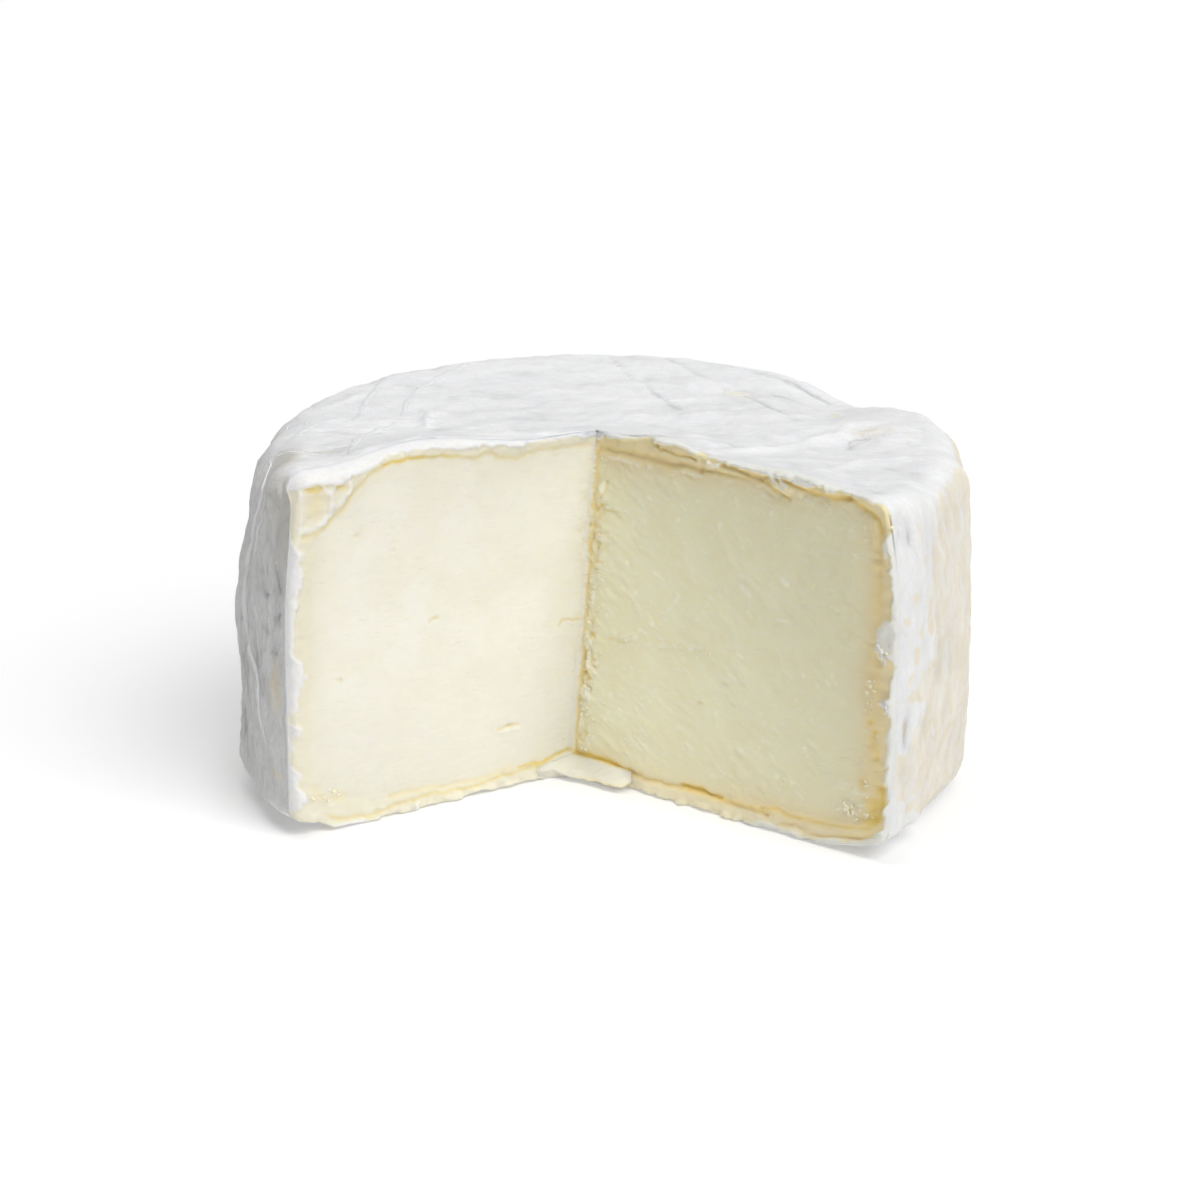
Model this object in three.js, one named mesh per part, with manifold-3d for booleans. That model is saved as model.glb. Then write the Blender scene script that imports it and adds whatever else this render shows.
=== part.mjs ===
// A tall soft-ripened cheese wheel with a white bloomy rind and one wedge cut out of it.
// Millimetres, +Z up, the base on z = 0. Angles round the wheel start at -Y, where the cut is, and grow
// towards +X.
import * as THREE from "three";
import { mergeVertices } from "three/addons/utils/BufferGeometryUtils.js";
import Module from "manifold-3d";

const wasm = await Module();
wasm.setup();

// ---------------------------------------------------------------- driving dimensions

const WHEEL_RADIUS = 55;
const WHEEL_HEIGHT = 52.6; // at the axis
const BARREL = 0.012; // share of the radius lost at the two rims of the bulging wall
const SLUMP = 0.016; // share of the radius that the wall leans in at the top and out at the base
const AXIS_Y = -7.8; // places the wheel's axis so that its bounding box is centred on the origin

const LEFT_CUT = -56.5; // degrees, where each knife cut leaves the wall
const RIGHT_CUT = 44.6;
const KERF_TOP = new THREE.Vector2(-1.5, 0.4); // where the two cuts meet at the top, from the axis
const KERF_BASE = new THREE.Vector2(-5.5, 0.1); // and at the base

const RIND = 2.7; // thickness of the white skin and the softened paste under it
const PASTE_SINK = 0.35; // how far the paste has drawn back behind the cut edge of the rind
const CREASE = 0.35; // further depth of the crease between them
const TOP_GROOVE = 0.7; // depth of the groove that the knife dragged open under the right cut's top rind
const FOLD = 0.9; // height of the fold in the thick rind at the left cut's outer top corner
const TOP_SHOULDER = 5; // rounding of the wall into the top, and more of it at the left front
const SLUMPED_SHOULDER = 10;
const BASE_SHOULDER = 7; // rounding of the wall into the base, which reaches further in at the right cut
const WORN_SHOULDER = 15;
const LIFTED_SHOULDER = 12; // how far it reaches in at the left cut
const CUT_SHOULDER = 2.8; // the top's rounding where the knife has squared the wheel off
const CUT_BASE_RISE = 4.4; // height of the base's rounding there
const TIP_PLATE = 3; // thickness of the base rind left in the point of the cut
const TIP_PLATE_THINS = 1.4; // what it loses towards its torn front edge

const SEGMENTS = 98; // round the wheel
const degrees = THREE.MathUtils.degToRad;
const { smoothstep, lerp } = THREE.MathUtils;

// ---------------------------------------------------------------- the wheel's form

// A soft round hump or hollow of unit height, centred on (x0, y0) and fading out over the two lengths.
const mound = (x, y, x0, y0, lengthX, lengthY) =>
  Math.exp(-(((x - x0) / lengthX) ** 2) - ((y - y0) / lengthY) ** 2);

// Degrees from a place on the wall to an angle given in radians, the short way round.
const away = (angle, place) =>
  THREE.MathUtils.euclideanModulo(THREE.MathUtils.radToDeg(angle) - place + 180, 360) - 180;

// How near an angle is to a place on the wall: 1 there, fading out over a spread, all in degrees.
const near = (angle, place, spread) => Math.exp(-((away(angle, place) / spread) ** 2));

// Height of the top over a point: it slopes down to the right and has sagged between two humps there.
function topHeight(x, y) {
  const u = x / WHEEL_RADIUS;
  const v = y / WHEEL_RADIUS;
  const dome = -1.4 * u + 0.2 * v - 0.4 * u * u - 0.5 * u * v + 2.4 * v * v;
  const middle = 0.9 * mound(x, y, -4, -9, 18, 13);
  const rightEdge = 1.6 * mound(x, y, 8, -9, 8.5, 8.5) + 1.4 * mound(x, y, 24, -25, 13, 13);
  const leftHump = 2.2 * mound(x, y, -25, -18, 14, 13);
  const backDip = -2.3 * mound(x, y, 38, 33, 7, 12);
  const rightHump = 1.9 * mound(x, y, 46, 12, 8, 14);
  const hollow = -0.9 * mound(x, y, 37, 2, 7, 6);
  return WHEEL_HEIGHT + dome + middle + rightEdge + leftHump + backDip + rightHump + hollow;
}

// The wheel was moulded by hand, so it is a little out of round.
const wallRadius = (angle) =>
  WHEEL_RADIUS +
  0.35 * Math.sin(angle) -
  0.29 * Math.cos(angle) -
  0.2 * Math.sin(2 * angle) +
  0.17 * Math.cos(2 * angle) +
  0.66 * Math.sin(3 * angle) +
  0.29 * Math.cos(3 * angle);

// Low folds of the skin: upright ones on the wall and long crossing ones on the top.
const wallFolds = (angle, z) =>
  0.28 * Math.sin(17 * angle + 0.06 * z) +
  0.2 * Math.sin(29 * angle - 0.05 * z + 1.1) +
  0.16 * Math.sin(11 * angle + 0.21 * z + 2.3);
const topFolds = (x, y) =>
  0.26 * Math.sin(0.22 * x + 0.34 * y + 0.6) * Math.cos(0.11 * x - 0.19 * y) +
  0.2 * Math.sin(0.42 * x - 0.31 * y + 1.9);

// Each ring of the profile is [part, share of the way along that part].
const rings = (part, count) => Array.from({ length: count }, (_, i) => [part, (i + 1) / count]);
const RINGS = [
  ["base", 0],
  ...rings("base", 3),
  ...rings("baseShoulder", 4),
  ...rings("wall", 11),
  ...rings("topShoulder", 5),
  ...rings("top", 12),
];

// Broad dents in the wall: [degrees, height, depth, half width in degrees, half height].
const DENTS = [
  [-88, 44, 1.2, 18, 9],
  [-90, 14, 0.8, 14, 5],
  [-92, 29, -0.5, 16, 7],
  [-118, 30, 0.5, 12, 14],
  [66, 20, 0.5, 9, 12],
  [128, 34, 0.6, 16, 10],
  [-165, 18, 0.6, 15, 9],
  [46, 42, -1.9, 14, 14],
  [46, 12, -1.1, 12, 24],
  [60, 5, 1, 16, 8],
  [72, 8, 1, 14, 7],
];
const wallDents = (angle, z) =>
  DENTS.reduce(
    (depth, [at, height, deepest, halfWidth, halfHeight]) =>
      depth + deepest * mound(away(angle, at), z, 0, height, halfWidth, halfHeight),
    0,
  );

// One point of the outside, from its ring and its angle. The top's rings run from the rim in to the axis.
function wheelPoint([part, share], angle) {
  const squared = Math.max(near(angle, LEFT_CUT, 14), near(angle, RIGHT_CUT, 14));
  const uncutShoulder = lerp(TOP_SHOULDER, SLUMPED_SHOULDER, near(angle, -92, 26));
  const roundTop = lerp(uncutShoulder, CUT_SHOULDER, squared);
  const roundBase = lerp(BASE_SHOULDER, CUT_BASE_RISE, squared);
  const wornReach = lerp(BASE_SHOULDER, WORN_SHOULDER, near(angle, RIGHT_CUT, 20));
  const baseReach = lerp(wornReach, LIFTED_SHOULDER, near(angle, LEFT_CUT, 8));
  const radius = wallRadius(angle);
  const across = new THREE.Vector2(Math.sin(angle), -Math.cos(angle));
  const rim = across.clone().multiplyScalar(radius - 3);
  const height = topHeight(rim.x, rim.y);
  const wallAt = (z) => {
    const s = (2 * z) / height - 1;
    return radius * (1 - BARREL * s * s - SLUMP * s) + wallFolds(angle, z) - wallDents(angle, z);
  };
  const at = (r, z) => new THREE.Vector3(across.x * r, across.y * r, z);
  if (part === "base") return at((wallAt(0) - baseReach) * share, 0);
  if (part === "baseShoulder") {
    const turn = ((1 - share) * Math.PI) / 2;
    const z = roundBase * (1 - Math.sin(turn));
    return at(wallAt(z) - baseReach * (1 - Math.cos(turn)), z);
  }
  if (part === "wall") {
    const z = lerp(roundBase, height - roundTop, share);
    return at(wallAt(z), z);
  }
  if (part === "topShoulder") {
    const turn = (share * Math.PI) / 2;
    const z = height - roundTop * (1 - Math.sin(turn));
    return at(wallAt(z) - roundTop * (1 - Math.cos(turn)), z);
  }
  const r = (wallAt(height) - roundTop) * (1 - share);
  const x = across.x * r;
  const y = across.y * r;
  const toRim = smoothstep(1 - share, 0.78, 1);
  return at(r, lerp(topHeight(x, y), height, toRim) + topFolds(x, y) * (1 - toRim));
}

// A lathe's points come one segment after another, ring by ring, and each is moved to its own place.
function wholeWheel() {
  const profile = RINGS.map((ring, i) => new THREE.Vector2(i === 0 || i === RINGS.length - 1 ? 0 : 1, i));
  const lathe = new THREE.LatheGeometry(profile, SEGMENTS);
  const position = lathe.getAttribute("position");
  for (let i = 0; i < position.count; i++) {
    const segment = Math.floor(i / RINGS.length) % SEGMENTS;
    const point = wheelPoint(RINGS[i % RINGS.length], (segment / SEGMENTS) * 2 * Math.PI);
    position.setXYZ(i, point.x, point.y, point.z);
  }
  return solid(lathe);
}

// ---------------------------------------------------------------- the cut

// Each cut is a ruled face from the leaning line where the knife strokes meet out to the wall, and past it.
const CUTS = {
  left: { end: endOf(LEFT_CUT), side: -1, length: 50.5 },
  right: { end: endOf(RIGHT_CUT), side: 1, length: 57 },
};
const kerfAt = (z) => KERF_BASE.clone().lerp(KERF_TOP, z / WHEEL_HEIGHT);

function endOf(cut) {
  return new THREE.Vector2(Math.sin(degrees(cut)), -Math.cos(degrees(cut))).multiplyScalar(WHEEL_RADIUS);
}

// How far a face lies behind its flat cut, at a run from the kerf and a height: the skin's edge stands
// proud, with a crease where the paste meets it, and the paste has sunk and swelled a little.
function faceRelief(name, run, z) {
  const waver = 0.45 * Math.sin(0.55 * run + 1) + 0.3 * Math.sin(1.3 * run);
  const underTop = WHEEL_HEIGHT - z + waver;
  const overBase = z + waver;
  const fromWall = CUTS[name].length - run + 0.4 * Math.sin(0.5 * z + 2);
  const depth = Math.min(underTop, overBase, fromWall);
  const paste = smoothstep(depth, RIND - 0.6, RIND + 0.6);
  const crease = CREASE * Math.exp(-(((depth - RIND - 0.7) / 1.1) ** 2));
  const groove = name === "right" ? TOP_GROOVE * Math.exp(-(((underTop - 3.6) / 1.3) ** 2)) : 0;
  const fold = name === "left" ? FOLD * mound(run, z, 46.5, 47.5, 3.2, 4.5) : 0;
  const swell =
    0.22 * Math.sin(0.21 * run + 0.4) * Math.cos(0.17 * z) + 0.12 * Math.sin(0.5 * z + 0.23 * run);
  return (paste * (PASTE_SINK + swell) + crease + groove - fold) * smoothstep(run, 0, 3);
}

function facePoint(name, run, z) {
  const { end, side } = CUTS[name];
  const kerf = kerfAt(z);
  const along = end.clone().sub(kerf).normalize();
  const intoCheese = new THREE.Vector2(-along.y, along.x).multiplyScalar(side);
  return kerf.addScaledVector(along, run).addScaledVector(intoCheese, faceRelief(name, run, z));
}

// The wedge that the knife took out: an upright prism whose two long sides are the cut faces.
function removedWedge() {
  const beyond = 66;
  const outFront = new THREE.Vector2(-6, -90);
  const below = -1;
  const above = 60;
  const runs = [...evenly(2.2, 44, 20), ...evenly(45.2, 60, 13), beyond];
  const levels = [below, ...evenly(0, 5, 6), ...evenly(7, 46, 19), ...evenly(47, 55, 9), above];
  const outline = new THREE.Shape([
    new THREE.Vector2(0, 0),
    ...runs.map((run) => new THREE.Vector2(run, -1)),
    new THREE.Vector2(beyond, 0),
    ...runs.map((run) => new THREE.Vector2(run, 1)).reverse(),
  ]);
  const steps = levels.length - 1;
  const prism = new THREE.ExtrudeGeometry(outline, { depth: 1, steps, bevelEnabled: false });
  const position = prism.getAttribute("position");
  for (let i = 0; i < position.count; i++) {
    const run = position.getX(i);
    const side = position.getY(i);
    const z = levels[Math.round(position.getZ(i) * steps)];
    let point = facePoint(side < 0 ? "left" : "right", run, z);
    if (run === 0) point = kerfAt(z);
    if (run === beyond && side === 0) point = outFront;
    position.setXYZ(i, point.x, point.y, z);
  }
  return solid(prism);
}

// The point of the wedge's base rind tore off and stayed behind. Its back edge is inside the cheese, and
// its torn front edge crosses the point of the cut.
const TIP_BACK = [
  [-5.5, 3],
  [-13.5, -3.4],
];
const TIP_FRONT = [
  [-9.4, -3.3],
  [-7.1, -3.9],
  [-3.5, -4.3],
  [-0.6, -5.2],
  [2.2, -6.6],
  [4.6, -9.6],
  [5.4, -8.4],
];

function tipPlate() {
  const outline = new THREE.Shape([...TIP_BACK, ...TIP_FRONT].map(([x, y]) => new THREE.Vector2(x, y)));
  const below = -2;
  const plate = new THREE.ExtrudeGeometry(outline, { depth: 1, steps: 1, bevelEnabled: false });
  const position = plate.getAttribute("position");
  for (let i = 0; i < position.count; i++) {
    const forward = smoothstep(-position.getY(i), 0, 7);
    position.setZ(i, position.getZ(i) > 0.5 ? TIP_PLATE - TIP_PLATE_THINS * forward : below);
  }
  return solid(plate);
}

// Small openings in the paste, each an ellipsoid sunk in a cut face: [cut, run, height, half width, half
// height, depth].
const EYES = [
  ["left", 25.9, 28.5, 1.3, 0.8, 1.2],
  ["left", 12.1, 9.5, 2.2, 0.7, 1.3],
  ["left", 2.6, 24.9, 2.4, 0.6, 1.1],
  ["left", 41.6, 21.4, 0.7, 0.6, 0.8],
  ["right", 18.5, 25.2, 2.6, 0.5, 0.9],
  ["right", 44.5, 30.5, 1.6, 0.5, 0.8],
];

function eye([name, run, z, halfWidth, halfHeight, depth]) {
  const at = facePoint(name, run, z);
  const turn = CUTS[name].end.angle();
  const ball = new THREE.SphereGeometry(1, 10, 6).scale(halfWidth, depth, halfHeight);
  return solid(ball.rotateZ(turn).translate(at.x, at.y, z));
}

// ---------------------------------------------------------------- putting it together

function evenly(from, to, count) {
  return Array.from({ length: count }, (_, i) => lerp(from, to, i / (count - 1)));
}

function solid(geometry) {
  geometry.deleteAttribute("normal");
  geometry.deleteAttribute("uv");
  const merged = mergeVertices(geometry, 1e-4);
  const vertProperties = merged.getAttribute("position").array;
  const triVerts = new Uint32Array(merged.getIndex().array);
  return new wasm.Manifold(new wasm.Mesh({ numProp: 3, vertProperties, triVerts }));
}

function geometryOf(body) {
  const { vertProperties, triVerts } = body.getMesh();
  const geometry = new THREE.BufferGeometry();
  geometry.setAttribute("position", new THREE.BufferAttribute(vertProperties, 3));
  geometry.setIndex(new THREE.BufferAttribute(triVerts, 1));
  geometry.computeVertexNormals();
  return geometry;
}

function cutWheel() {
  const wedge = removedWedge().subtract(tipPlate());
  return EYES.map(eye).reduce((cheese, opening) => cheese.subtract(opening), wholeWheel().subtract(wedge));
}

const bloomyCheese = new THREE.MeshStandardMaterial({ color: 0xeeebe0, roughness: 0.85, metalness: 0 });
const cheese = new THREE.Mesh(geometryOf(cutWheel()), bloomyCheese);
cheese.name = "cheese_wheel";
cheese.position.y = AXIS_Y;

const part = new THREE.Group();
part.add(cheese);
export default part;
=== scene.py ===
import bmesh
import bpy
import numpy as np
from mathutils import Euler, Matrix, Vector
from mathutils.bvhtree import BVHTree


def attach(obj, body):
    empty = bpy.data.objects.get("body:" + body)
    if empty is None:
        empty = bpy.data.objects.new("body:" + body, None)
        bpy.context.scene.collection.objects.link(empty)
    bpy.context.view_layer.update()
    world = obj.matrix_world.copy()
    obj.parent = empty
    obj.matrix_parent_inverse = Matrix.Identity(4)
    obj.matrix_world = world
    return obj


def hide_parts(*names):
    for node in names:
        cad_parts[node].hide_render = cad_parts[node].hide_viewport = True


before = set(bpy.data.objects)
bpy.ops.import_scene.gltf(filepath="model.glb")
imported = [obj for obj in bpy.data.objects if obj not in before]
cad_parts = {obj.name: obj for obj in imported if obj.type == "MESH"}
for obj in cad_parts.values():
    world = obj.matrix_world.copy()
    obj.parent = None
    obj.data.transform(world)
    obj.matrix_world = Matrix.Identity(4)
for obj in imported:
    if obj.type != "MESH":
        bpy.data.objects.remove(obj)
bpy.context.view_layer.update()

# ---------------------------------------------------------------- the white rind
# A soft skin of white mould, under a millimetre thick, grown all over a wheel that was ladled into a mould
# and turned by hand. It is folded and brushed on the top, wrinkled upright on the wall, and worn through to
# beige on the right.

MM = 0.001
RADIUS = 55.0
HEIGHT = 52.6  # at the axis
AXIS = (0, -7.8, 0)  # the wheel's axis in the part's frame
BARREL = 0.012  # share of the radius lost at the two rims of the bulging wall
SLUMP = 0.016  # share of the radius that the wall leans in at the top and out at the base
LEFT_CUT = np.radians(-56.5)  # where each knife cut leaves the wall, from -Y towards +X
RIGHT_CUT = np.radians(44.6)
KERF_TOP = (-1.5, 0.4)  # where the two cuts meet, from the axis, at the top and at the base
KERF_BASE = (-5.5, 0.1)
TOP_SHOULDER = 5.0
SLUMPED_SHOULDER = 10.0  # at the left front
BASE_SHOULDER = 7.0
WORN_SHOULDER = 15.0  # at the right cut
LIFTED_SHOULDER = 12.0  # at the left cut
CUT_SHOULDER = 2.8  # where the knife has squared the wheel off
CUT_BASE_RISE = 4.4
SKIN = 0.3  # thickness of the white skin
SKIN_BACK = 2.2  # how far the skin under the base ends behind the cuts
EDGE_ROUND = 0.7  # radius of the soft edge between the outside and each cut face
CORNER_ROUND = 1.8  # over the slumped corner of the left cut
EDGE_LAP = 1.35  # how far back the soft edge reaches, as a share of its radius
LAP_SPARE = 0.1  # how much further back the skin starts to dip
EDGE_FALL = 2.2  # how steeply the soft edge falls away
EDGE_DIP = 0.08  # how far below the soft edge the skin ends
OUTER_CELLS = (6, 8, 84, 82)  # of the skin, on the base, its shoulder, the wall and the top
INNER_CELLS = (1, 4, 30, 30)
CLOSE_REACH = 47.0  # how far round from each cut the skin's sections stay close together

# Broad dents in the wall: degrees, height, depth, half width in degrees, half height.
DENTS = (
    (-88, 44, 1.2, 18, 9),
    (-90, 14, 0.8, 14, 5),
    (-92, 29, -0.5, 16, 7),
    (-118, 30, 0.5, 12, 14),
    (66, 20, 0.5, 9, 12),
    (128, 34, 0.6, 16, 10),
    (-165, 18, 0.6, 15, 9),
    (46, 42, -1.9, 14, 14),
    (46, 12, -1.1, 12, 24),
    (60, 5, 1.0, 16, 8),
    (72, 8, 1.0, 14, 7),
)


def smoothstep(value, low, high):
    share = np.clip((value - low) / (high - low), 0, 1)
    return share * share * (3 - 2 * share)


def lerp(a, b, share):
    return a + (b - a) * share


def soft_noise(points, size, seed):
    """Smooth lumps of about the given size, between -1 and 1, at points in mm."""
    lattice = np.random.default_rng(seed).uniform(-1, 1, (32, 32, 32))
    cell = np.asarray(points, float) / np.asarray(size, float)
    low = np.floor(cell).astype(int)
    blend = smoothstep(cell - low, 0, 1)
    value = 0
    for corner in np.ndindex(2, 2, 2):
        weight = np.prod(np.where(corner, blend, 1 - blend), axis=-1)
        index = (low + corner) % 32
        value = value + weight * lattice[index[..., 0], index[..., 1], index[..., 2]]
    return value


def stacked(x, y, z):
    return np.stack(np.broadcast_arrays(x, y, z), axis=-1)


def layered(points, *layers):
    """Soft noise in layers, each given by its height, its size and its seed."""
    return sum(height * soft_noise(points, size, seed) for height, size, seed in layers)


def mound(x, y, x0, y0, length_x, length_y):
    return np.exp(-(((x - x0) / length_x) ** 2) - ((y - y0) / length_y) ** 2)


def away(angle, degrees):
    """Degrees from a place on the wall, the short way round."""
    return np.mod(np.degrees(angle) - degrees + 180, 360) - 180


def near(angle, degrees, spread):
    return np.exp(-((away(angle, degrees) / spread) ** 2))


def top_height(x, y):
    u = x / RADIUS
    v = y / RADIUS
    dome = -1.4 * u + 0.2 * v - 0.4 * u * u - 0.5 * u * v + 2.4 * v * v
    middle = 0.9 * mound(x, y, -4, -9, 18, 13)
    right_edge = 1.6 * mound(x, y, 8, -9, 8.5, 8.5) + 1.4 * mound(x, y, 24, -25, 13, 13)
    left_hump = 2.2 * mound(x, y, -25, -18, 14, 13)
    back_dip = -2.3 * mound(x, y, 38, 33, 7, 12)
    right_hump = 1.9 * mound(x, y, 46, 12, 8, 14)
    hollow = -0.9 * mound(x, y, 37, 2, 7, 6)
    return HEIGHT + dome + middle + right_edge + left_hump + back_dip + right_hump + hollow


def wall_radius(angle):
    waves = ((0.35, -0.29), (-0.2, 0.17), (0.66, 0.29))
    return RADIUS + sum(s * np.sin(k * angle) + c * np.cos(k * angle) for k, (s, c) in enumerate(waves, 1))


def rim_height(angle):
    r = wall_radius(angle) - 3
    return top_height(r * np.sin(angle), -r * np.cos(angle))


def squared_off(angle):
    return np.maximum(near(angle, np.degrees(LEFT_CUT), 14), near(angle, np.degrees(RIGHT_CUT), 14))


def top_round(angle):
    uncut = lerp(TOP_SHOULDER, SLUMPED_SHOULDER, near(angle, -92, 26))
    return lerp(uncut, CUT_SHOULDER, squared_off(angle))


def base_reach(angle):
    """How far the base's shoulder comes in from the wall."""
    worn = lerp(BASE_SHOULDER, WORN_SHOULDER, near(angle, np.degrees(RIGHT_CUT), 20))
    return lerp(worn, LIFTED_SHOULDER, near(angle, np.degrees(LEFT_CUT), 8))


def wall_at(angle, z):
    """Radius of the wall at an angle and a height, with its dents and its upright folds."""
    s = 2 * z / rim_height(angle) - 1
    dents = sum(d * mound(away(angle, at), z, 0, h, width, tall) for at, h, d, width, tall in DENTS)
    on_wall = stacked(RADIUS * np.sin(angle), -RADIUS * np.cos(angle), z)
    folds = layered(on_wall, (0.55, (5, 5, 17), 11), (0.4, (10, 10, 24), 12))
    return wall_radius(angle) * (1 - BARREL * s * s - SLUMP * s) - dents + folds


def kerf_at(z):
    share = z / HEIGHT
    return lerp(KERF_BASE[0], KERF_TOP[0], share), lerp(KERF_BASE[1], KERF_TOP[1], share)


def bearing_at(turn, z):
    """Bearing of an upright section from the kerf: turn 0 is the right cut, 1 the left, round the back."""
    kerf_x, kerf_y = kerf_at(z)
    cuts = (RIGHT_CUT, LEFT_CUT)
    right, left = (np.arctan2(RADIUS * np.sin(cut) - kerf_x, RADIUS * np.cos(cut) + kerf_y) for cut in cuts)
    return right + turn * (left + 2 * np.pi - right)


ROUND = RADIUS * (bearing_at(1, HEIGHT / 2) - bearing_at(0, HEIGHT / 2))  # round the wall, cut to cut


def place(turn, run, z):
    """Points at a run from the kerf along a section, in mm from the wheel's axis."""
    kerf_x, kerf_y = kerf_at(z)
    bearing = bearing_at(turn, z)
    x = kerf_x + run * np.sin(bearing)
    y = kerf_y - run * np.cos(bearing)
    return stacked(x, y, z)


def wall_run(turn, z):
    """Run from the kerf at which a section meets the wall."""
    run = RADIUS
    for _ in range(5):
        x, y, _ = np.moveaxis(place(turn, run, z), -1, 0)
        bearing = bearing_at(turn, z)
        r = np.hypot(x, y)
        run = run + (wall_at(np.arctan2(x, -y), z) - r) * r / (x * np.sin(bearing) - y * np.cos(bearing))
    return run


def top_surface(turn, run):
    """Height of the top at a run along a section: its folds die out towards the rim."""
    x, y, _ = np.moveaxis(place(turn, run, HEIGHT), -1, 0)
    angle = np.arctan2(x, -y)
    height = rim_height(angle)
    rim = wall_at(angle, height) - top_round(angle)
    to_rim = smoothstep(np.hypot(x, y) / rim, 0.78, 1)
    flat = stacked(x + 0.35 * y, y - 0.35 * x, 0)
    folds = 0.45 * soft_noise(flat, (16, 6, 9), 13)
    return lerp(top_height(x, y), height, to_rim) + folds * (1 - to_rim)


def wheel_section(turns, base_cells, corner_cells, wall_cells, top_cells):
    """Runs and heights round each section's outside, from the middle of the base to the middle of the top."""
    turns = np.asarray(turns)[None, :]
    x, y, _ = np.moveaxis(place(turns, RADIUS, HEIGHT / 2), -1, 0)
    angle = np.arctan2(x, -y)
    height = rim_height(angle)
    round_top = top_round(angle)
    reach = base_reach(angle)
    rise = lerp(BASE_SHOULDER, CUT_BASE_RISE, squared_off(angle))
    quarter = np.linspace(0, np.pi / 2, corner_cells + 1)[1:, None]

    base_run = np.linspace(0, 1, base_cells + 1)[:, None] * (wall_run(turns, 0.0 * height) - reach)
    low_z = rise * (1 - np.cos(quarter))
    low_run = wall_run(turns, low_z) - reach * (1 - np.sin(quarter))
    wall_z = lerp(rise, height - round_top, np.linspace(0, 1, wall_cells + 1)[1:, None])
    high_z = height - round_top * (1 - np.sin(quarter))
    high_run = wall_run(turns, high_z) - round_top * (1 - np.cos(quarter))
    top_run = np.linspace(1, 0, top_cells + 1)[1:, None] * (wall_run(turns, height) - round_top)
    runs = np.concatenate([base_run, low_run, wall_run(turns, wall_z), high_run, top_run])
    heights = np.concatenate([0 * base_run, low_z, wall_z, high_z, top_surface(turns, top_run)])
    return runs, heights


def inset(runs, heights, depth):
    """The same sections moved inwards from the outside."""
    along_run = np.gradient(runs, axis=0)
    along_z = np.gradient(heights, axis=0)
    length = np.hypot(along_run, along_z)
    inner = runs - depth * along_z / length
    inner[[0, -1]] = 0
    return np.maximum(inner, 0), heights + depth * along_run / length


def from_line(u, v, line):
    """Distance of places from a line drawn through places."""
    nearest = np.full(np.broadcast(u, v).shape, np.inf)
    for (u0, v0), (u1, v1) in zip(line, line[1:]):
        span_u = u1 - u0
        span_v = v1 - v0
        share = np.clip(((u - u0) * span_u + (v - v0) * span_v) / (span_u**2 + span_v**2), 0, 1)
        nearest = np.minimum(nearest, np.hypot(u - u0 - share * span_u, v - v0 - share * span_v))
    return nearest


def ridge(u, v, line, half_width):
    """1 on a line through places, fading to nothing on both sides."""
    return np.exp(-((from_line(u, v, line) / half_width) ** 2))


def inside_by(u, v, outline):
    """How far inside a closed outline places are: negative outside it."""
    crossings = np.zeros(np.shape(u), int)
    closed = (*outline, outline[0])
    for (u0, v0), (u1, v1) in zip(closed, closed[1:]):
        spans = (v0 > v) != (v1 > v)
        crossing_u = u0 + (v - v0) * (u1 - u0) / (v1 - v0 if v1 != v0 else 1)
        crossings += spans & (u < crossing_u)
    return np.where(crossings % 2, 1, -1) * from_line(u, v, closed)


def wrinkles(points, size, seed, width=0.14):
    """Thin crests that wander where soft noise passes through zero, between 0 and 1."""
    return np.exp(-((soft_noise(points, size, seed) / width) ** 2))


def grid_into(bm, columns, rows):
    """Adds a grid, and returns its vertices and the column and row of each."""
    vertices = bmesh.ops.create_grid(bm, x_segments=columns, y_segments=rows, size=0.5)["verts"]
    places = np.array([(v.co.x, v.co.y) for v in vertices])
    return vertices, *np.rint((places + 0.5) * (columns, rows)).astype(int).T


def move_to(vertices, points):
    """Moves vertices to points in mm from the wheel's axis."""
    for vertex, point in zip(vertices, (points + AXIS) * MM):
        vertex.co = point


def in_scene(name, data):
    thing = bpy.data.objects.new(name, data)
    bpy.context.scene.collection.objects.link(thing)
    return thing


def piece_of(bm, name):
    mesh = bpy.data.meshes.new(name)
    bm.to_mesh(mesh)
    bm.free()
    return in_scene(name, mesh)


def closed_piece(bm, name):
    bmesh.ops.remove_doubles(bm, verts=bm.verts, dist=1e-6)
    bmesh.ops.dissolve_degenerate(bm, edges=bm.edges, dist=1e-7)
    bmesh.ops.recalc_face_normals(bm, faces=bm.faces)
    for face in bm.faces:
        face.smooth = True
    return piece_of(bm, name)


def tag(bm, masks):
    """Keeps the masks with the vertices while doubles are merged."""
    layers = {name: bm.verts.layers.float.new(name) for name in masks}
    for i, vertex in enumerate(bm.verts):
        for name, mask_layer in layers.items():
            vertex[mask_layer] = masks[name][i]


def tagged(piece, name):
    values = np.empty(len(piece.data.vertices), np.float32)
    piece.data.attributes[name].data.foreach_get("value", values)
    return values


def belongs(piece, finish):
    piece.data.materials.append(finish)
    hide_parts("cheese_wheel")
    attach(piece, "root")


def vertices_of(piece):
    """Vertices in mm from the wheel's axis, and their normals."""
    count = len(piece.data.vertices)
    points = np.empty(3 * count)
    normals = np.empty(3 * count)
    piece.data.vertices.foreach_get("co", points)
    piece.data.vertex_normals.foreach_get("vector", normals)
    return points.reshape(-1, 3) / MM - AXIS, normals.reshape(-1, 3)


def set_vertices(piece, points):
    piece.data.vertices.foreach_set("co", ((points + AXIS) * MM).ravel())
    piece.data.update()


def store(piece, name, values):
    layer = piece.data.attributes.new(name, "FLOAT", "POINT")
    layer.data.foreach_set("value", np.asarray(values, np.float32))


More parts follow.
